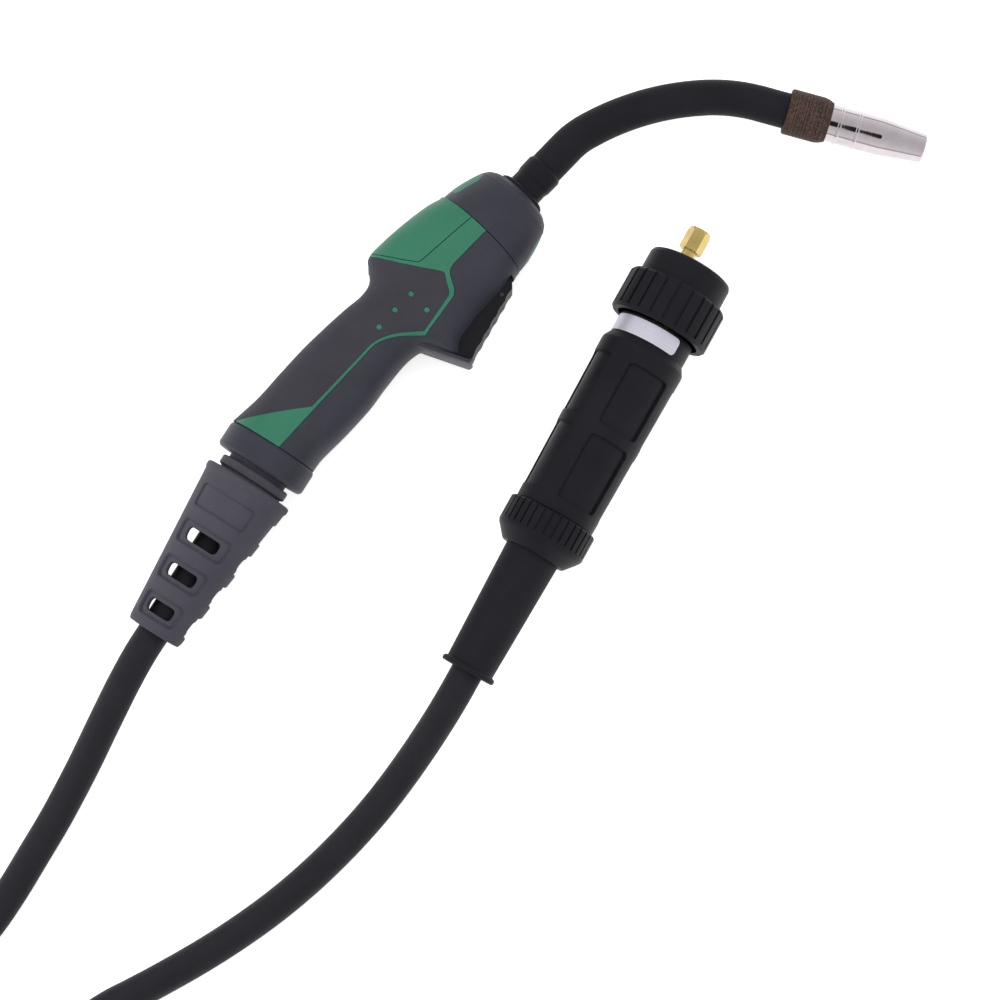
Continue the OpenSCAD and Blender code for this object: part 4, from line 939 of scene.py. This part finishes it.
def patch(at, angle, far, size, corner, about, low, high=40.0, columns=16):
    # A block wrapped round Z, with rounded corners and its width measured at the radius about, from the
    # radius low, which may be a function of Z, to the radius high
    wide, long = size
    quarter = [math.radians(22.5 * k) for k in range(5)]
    rows = [(far + e * (long / 2 - corner + corner * math.sin(b)), wide / 2 - corner + corner * math.cos(b))
            for e, bends in ((-1, quarter[::-1]), (1, quarter)) for b in bends]
    points = []
    for radius in (low, high):
        for z, half in rows:
            r = radius(z) if callable(radius) else radius
            for c in range(columns + 1):
                a = math.radians(angle) + (2 * c / columns - 1) * half / about
                points.append(at @ Vector((r * math.cos(a), r * math.sin(a), z)) / 1000)
    across, layer = columns + 1, len(rows) * (columns + 1)
    faces = [tuple(level * layer + i * across + j + k for k in (0, 1, across + 1, across))
             for level in (0, 1) for i in range(len(rows) - 1) for j in range(columns)]
    edge = ([(0, j) for j in range(columns)] + [(i, columns) for i in range(len(rows) - 1)]
            + [(len(rows) - 1, j) for j in range(columns, 0, -1)] + [(i, 0) for i in range(len(rows) - 1, 0, -1)])
    loop = [i * across + j for i, j in edge]
    faces += [(a, b, b + layer, a + layer) for a, b in zip(loop, loop[1:] + loop[:1])]
    return closedMesh("patch", points, faces)


# Each turned piece: its node, body, finish and place, where it starts, its rounding, and its profile of
# radius and distance
turnedSet = {
    "nozzle": ("gas_nozzle", "nozzle", "nickelPlate", neckEndPlace, 36.3, 0.35, (
        (8.05, -12), (9.15, -12), (9.55, -11.5), (9.55, 4.2), (9.87, 4.5), (9.87, 5.5), (9.55, 5.8), (9.55, 13.6),
        (9.87, 13.9), (9.87, 14.9), (9.55, 15.2), (9.55, 26.8), (9.2, 30.8), (7.35, 49.1), (6.8, 49.8), (6, 49.8),
        (5.8, 49.2), (7.85, 29.8), (8.05, 26.8))),
    "insulator": ("insulator_sleeve", "neck", "laidFibre", neckEndPlace, 13.9, 0.4, (
        (9.2, 0.8), (10.8, 0), (11.7, 0.8), (11.7, 17.4), (11.2, 19.8), (10.4, 21.6), (10.15, 22.4), (9.85, 22.1),
        (9.85, 9.4), (6, 9.4), (6, 4), (9.2, 4))),
    "neckRoot": ("neck_collar", "neck", "blackPlastic", swivelPlace, 29.9, 0.6, (
        (6, 0), (9.4, 0), (9.3, 6), (9.9, 8.4), (10, 15.4), (9.3, 16.8), (6, 16.8))),
    "rearRing": ("rear_collar", "handle", "darkShell", ringPlace, 0, 0.5, (
        (18.2, 0), (23.1, 0), (23.5, 0.5), (24.2, 1.4), (24.3, 2.4), (24.3, 12.1), (23.1, 13.5), (16.3, 13.5),
        (16.3, 6.3), (18.2, 6.3))),
    "bootHub": ("boot_hub", "boot", "bootRubber", ringPlace, 0, 0.5, (
        (9.7, 2), (17.6, 2), (17.6, 6), (16, 6), (16, 16.2), (18.3, 16.2), (18.8, 16.8), (18.8, 20.4), (18.3, 21),
        (17.2, 21.2), (17.2, 22.4), (15.4, 22.4), (15.4, 29.4), (8.5, 29.4), (8.5, 13), (9, 6.5))),
    "plugSleeve": ("plug_sleeve", "handle", "blackRubber", plugPlace, 0, 0.5, (
        (8.3, 0), (13.8, 0), (14.4, 0.7), (14.4, 2), (13.8, 2.8), (12.6, 3.2), (14.3, 67), (14.3, 86.8),
        (8.3, 86.8))),
}
for name, (node, body, finish, at, from_, round_, profile) in turnedSet.items():
    mesh = turned(rounded(profile, round_), at @ Matrix.Translation((0, 0, from_)))
    newPiece(name, smoothed(mesh, 40), body, finish, (node,))

# ---- the boot, the housing and the label ----
bootSet = {
    "from": 22.4, "long": 87.5, "rim": 23.6, "tail": 14.5, "turn": 6.5, "first": 11.8, "pitch": 19.7,
    "windows": (17.6, 19.4, 21.6), "windowLong": 6.8, "corner": 2.6, "frame": 1.4, "lip": 0.45,
    "frameWider": 5.2, "frameGrows": 1.8, "frameLonger": 5, "holeTo": 9.4,
    "panelAt": 70.6, "panel": (33.0, 12.0), "panelDeep": 1.1, "panelLip": 0.35,
    "profile": ((15.4, 0), (22.8, 0), (23.6, 0.8), (23.6, 3.0), (22.9, 4.2), (14.7, 85.5), (13.9, 87.5),
                (8.5, 87.5), (8.5, 83.5), (11.5, 81.5), (20.2, 7), (15.4, 7)),
}


def makeBoot(v):
    # Three columns of windows, each in a sunk frame, and a panel over each column
    at = (Matrix.Translation(nose + Vector((*places["ring"], 0)))
          @ Matrix.Rotation(math.radians(places["ringTilt"]), 4, "Z")
          @ Matrix.Rotation(math.radians(-90), 4, "Y") @ Matrix.Translation((0, 0, v["from"])))

    def sunk(deep):
        return lambda z: v["tail"] + (v["rim"] - v["tail"]) * (v["long"] - z) / v["long"] - deep

    lips, frames, holes = [], [], []
    for column in range(3):
        angle = v["turn"] + 120 * column
        for k, wide in enumerate(v["windows"]):
            far, long, corner = v["long"] - v["first"] - v["pitch"] * k, v["windowLong"], v["corner"]
            frame = (wide + v["frameWider"] + v["frameGrows"] * k, long + v["frameLonger"])
            about = sunk(0)(far)
            lip = (frame[0] + 1.4, frame[1] + 1.2)
            lips.append(patch(at, angle, far, lip, corner + 0.6, about, sunk(v["lip"])))
            frames.append(patch(at, angle, far, frame, corner, about, sunk(v["frame"])))
            holes.append(patch(at, angle, far, (wide, long), corner, about, v["holeTo"]))
        wide, long = v["panel"]
        far = v["long"] - v["panelAt"]
        lips.append(patch(at, angle, far, (wide + 1.2, long + 1.2), 2.6, sunk(0)(far), sunk(v["panelLip"])))
        frames.append(patch(at, angle, far, (wide, long), 2.0, sunk(0)(far), sunk(v["panelDeep"])))
    mesh = turned(rounded(v["profile"], 0.6), at)
    mesh = less(mesh, gathered(lips), gathered(frames), gathered(holes))
    return newPiece("boot", shadedLike(mesh, 30), "boot", "bootRubber", ("cable_boot",))


housingSet = {
    "from": 88.8, "long": 95.7, "rear": 21.3, "front": 22.7, "neck": 20.2, "bore": 14.6, "neckEnd": 107.3,
    "rows": ((7.8, 35.6), (49.8, 33.6)), "recess": 24.0, "corner": 2.2, "deep": 1.4, "turn": 202.6,
    "labelAt": 185.6, "label": (53.4, 9.0), "labelTurn": 146.0,
}


def makeHousing(v):
    at = plugPlace @ Matrix.Translation((0, 0, v["from"]))

    def sunk(deep):
        return lambda z: v["rear"] + (v["front"] - v["rear"]) * z / v["long"] - deep

    profile = ((v["bore"], 0), (v["rear"] - 0.5, 0), (v["rear"], 0.5), (v["front"], v["long"] - 5),
               (v["front"] - 0.1, v["long"] - 3.4), (v["neck"] + 0.4, v["long"]), (v["neck"], v["long"] + 0.4),
               (v["neck"], v["neckEnd"]), (v["bore"], v["neckEnd"]))
    mesh = turned(rounded(profile, 0.5), at)
    lips, floors = [], []
    for from_, long in v["rows"]:
        for k in range(4):
            angle, far, wide, corner = v["turn"] + 90 * k, from_ + long / 2, v["recess"], v["corner"]
            lips.append(patch(at, angle, far, (wide + 0.9, long + 0.9), corner + 0.4, v["front"], sunk(0.3)))
            floors.append(patch(at, angle, far, (wide, long), corner, v["front"], sunk(v["deep"])))
    mesh = less(mesh, gathered(lips), gathered(floors))
    newPiece("housing", shadedLike(mesh, 30), "handle", "blackPlastic", ("plug_housing",))
    film = patch(plugPlace, v["labelTurn"], v["labelAt"] + v["label"][1] / 2, v["label"], 2.4, v["neck"],
                 v["neck"] + 0.01, v["neck"] + 0.14, 64)
    newPiece("label", smoothed(film, 30), "handle", "silverFilm", ("plug_label",))


makeBoot(bootSet)
makeHousing(housingSet)

print("turned pieces, boot and housing done")

# ---- finishes of the CAD nodes that stay ----
nodeFinishes = {
    "plainSteel": ("hood_screw", "neck_tube", "wire_liner", "nozzle_spring", "trigger_spring", "clamp_screws"),
    "darkShell": ("lock_collar", "plug_insert"),
    "greenShell": ("collar_inlays",),
    "blackPlastic": ("swivel_bush", "microswitch", "plug_clamp_nut", "lock_nut"),
    "turnedBrass": ("neck_hub", "tip_holder", "switch_terminals", "power_block", "plug_core", "plug_spigot",
                    "liner_nut", "contact_pin_a", "contact_pin_b"),
    "blackRubber": ("neck_seal", "neck_sleeve", "spigot_seal"),
    "tipCopper": ("contact_tip",),
    "triggerPlastic": ("trigger",),
    # The trigger's pin gets the steel whose colour is darkened with painted shade of its recess
    "shadeDarkenedSteel": ("trigger_pin",),
    "redPlastic": ("switch_button",),
    "cableRubber": ("cable_core",),
    "wovenStrap": ("coil_ties",),
}
for finish, names in nodeFinishes.items():
    for name in names:
        nodes[name].data.materials.clear()
        nodes[name].data.materials.append(finishes[finish])
print("CAD nodes dressed")
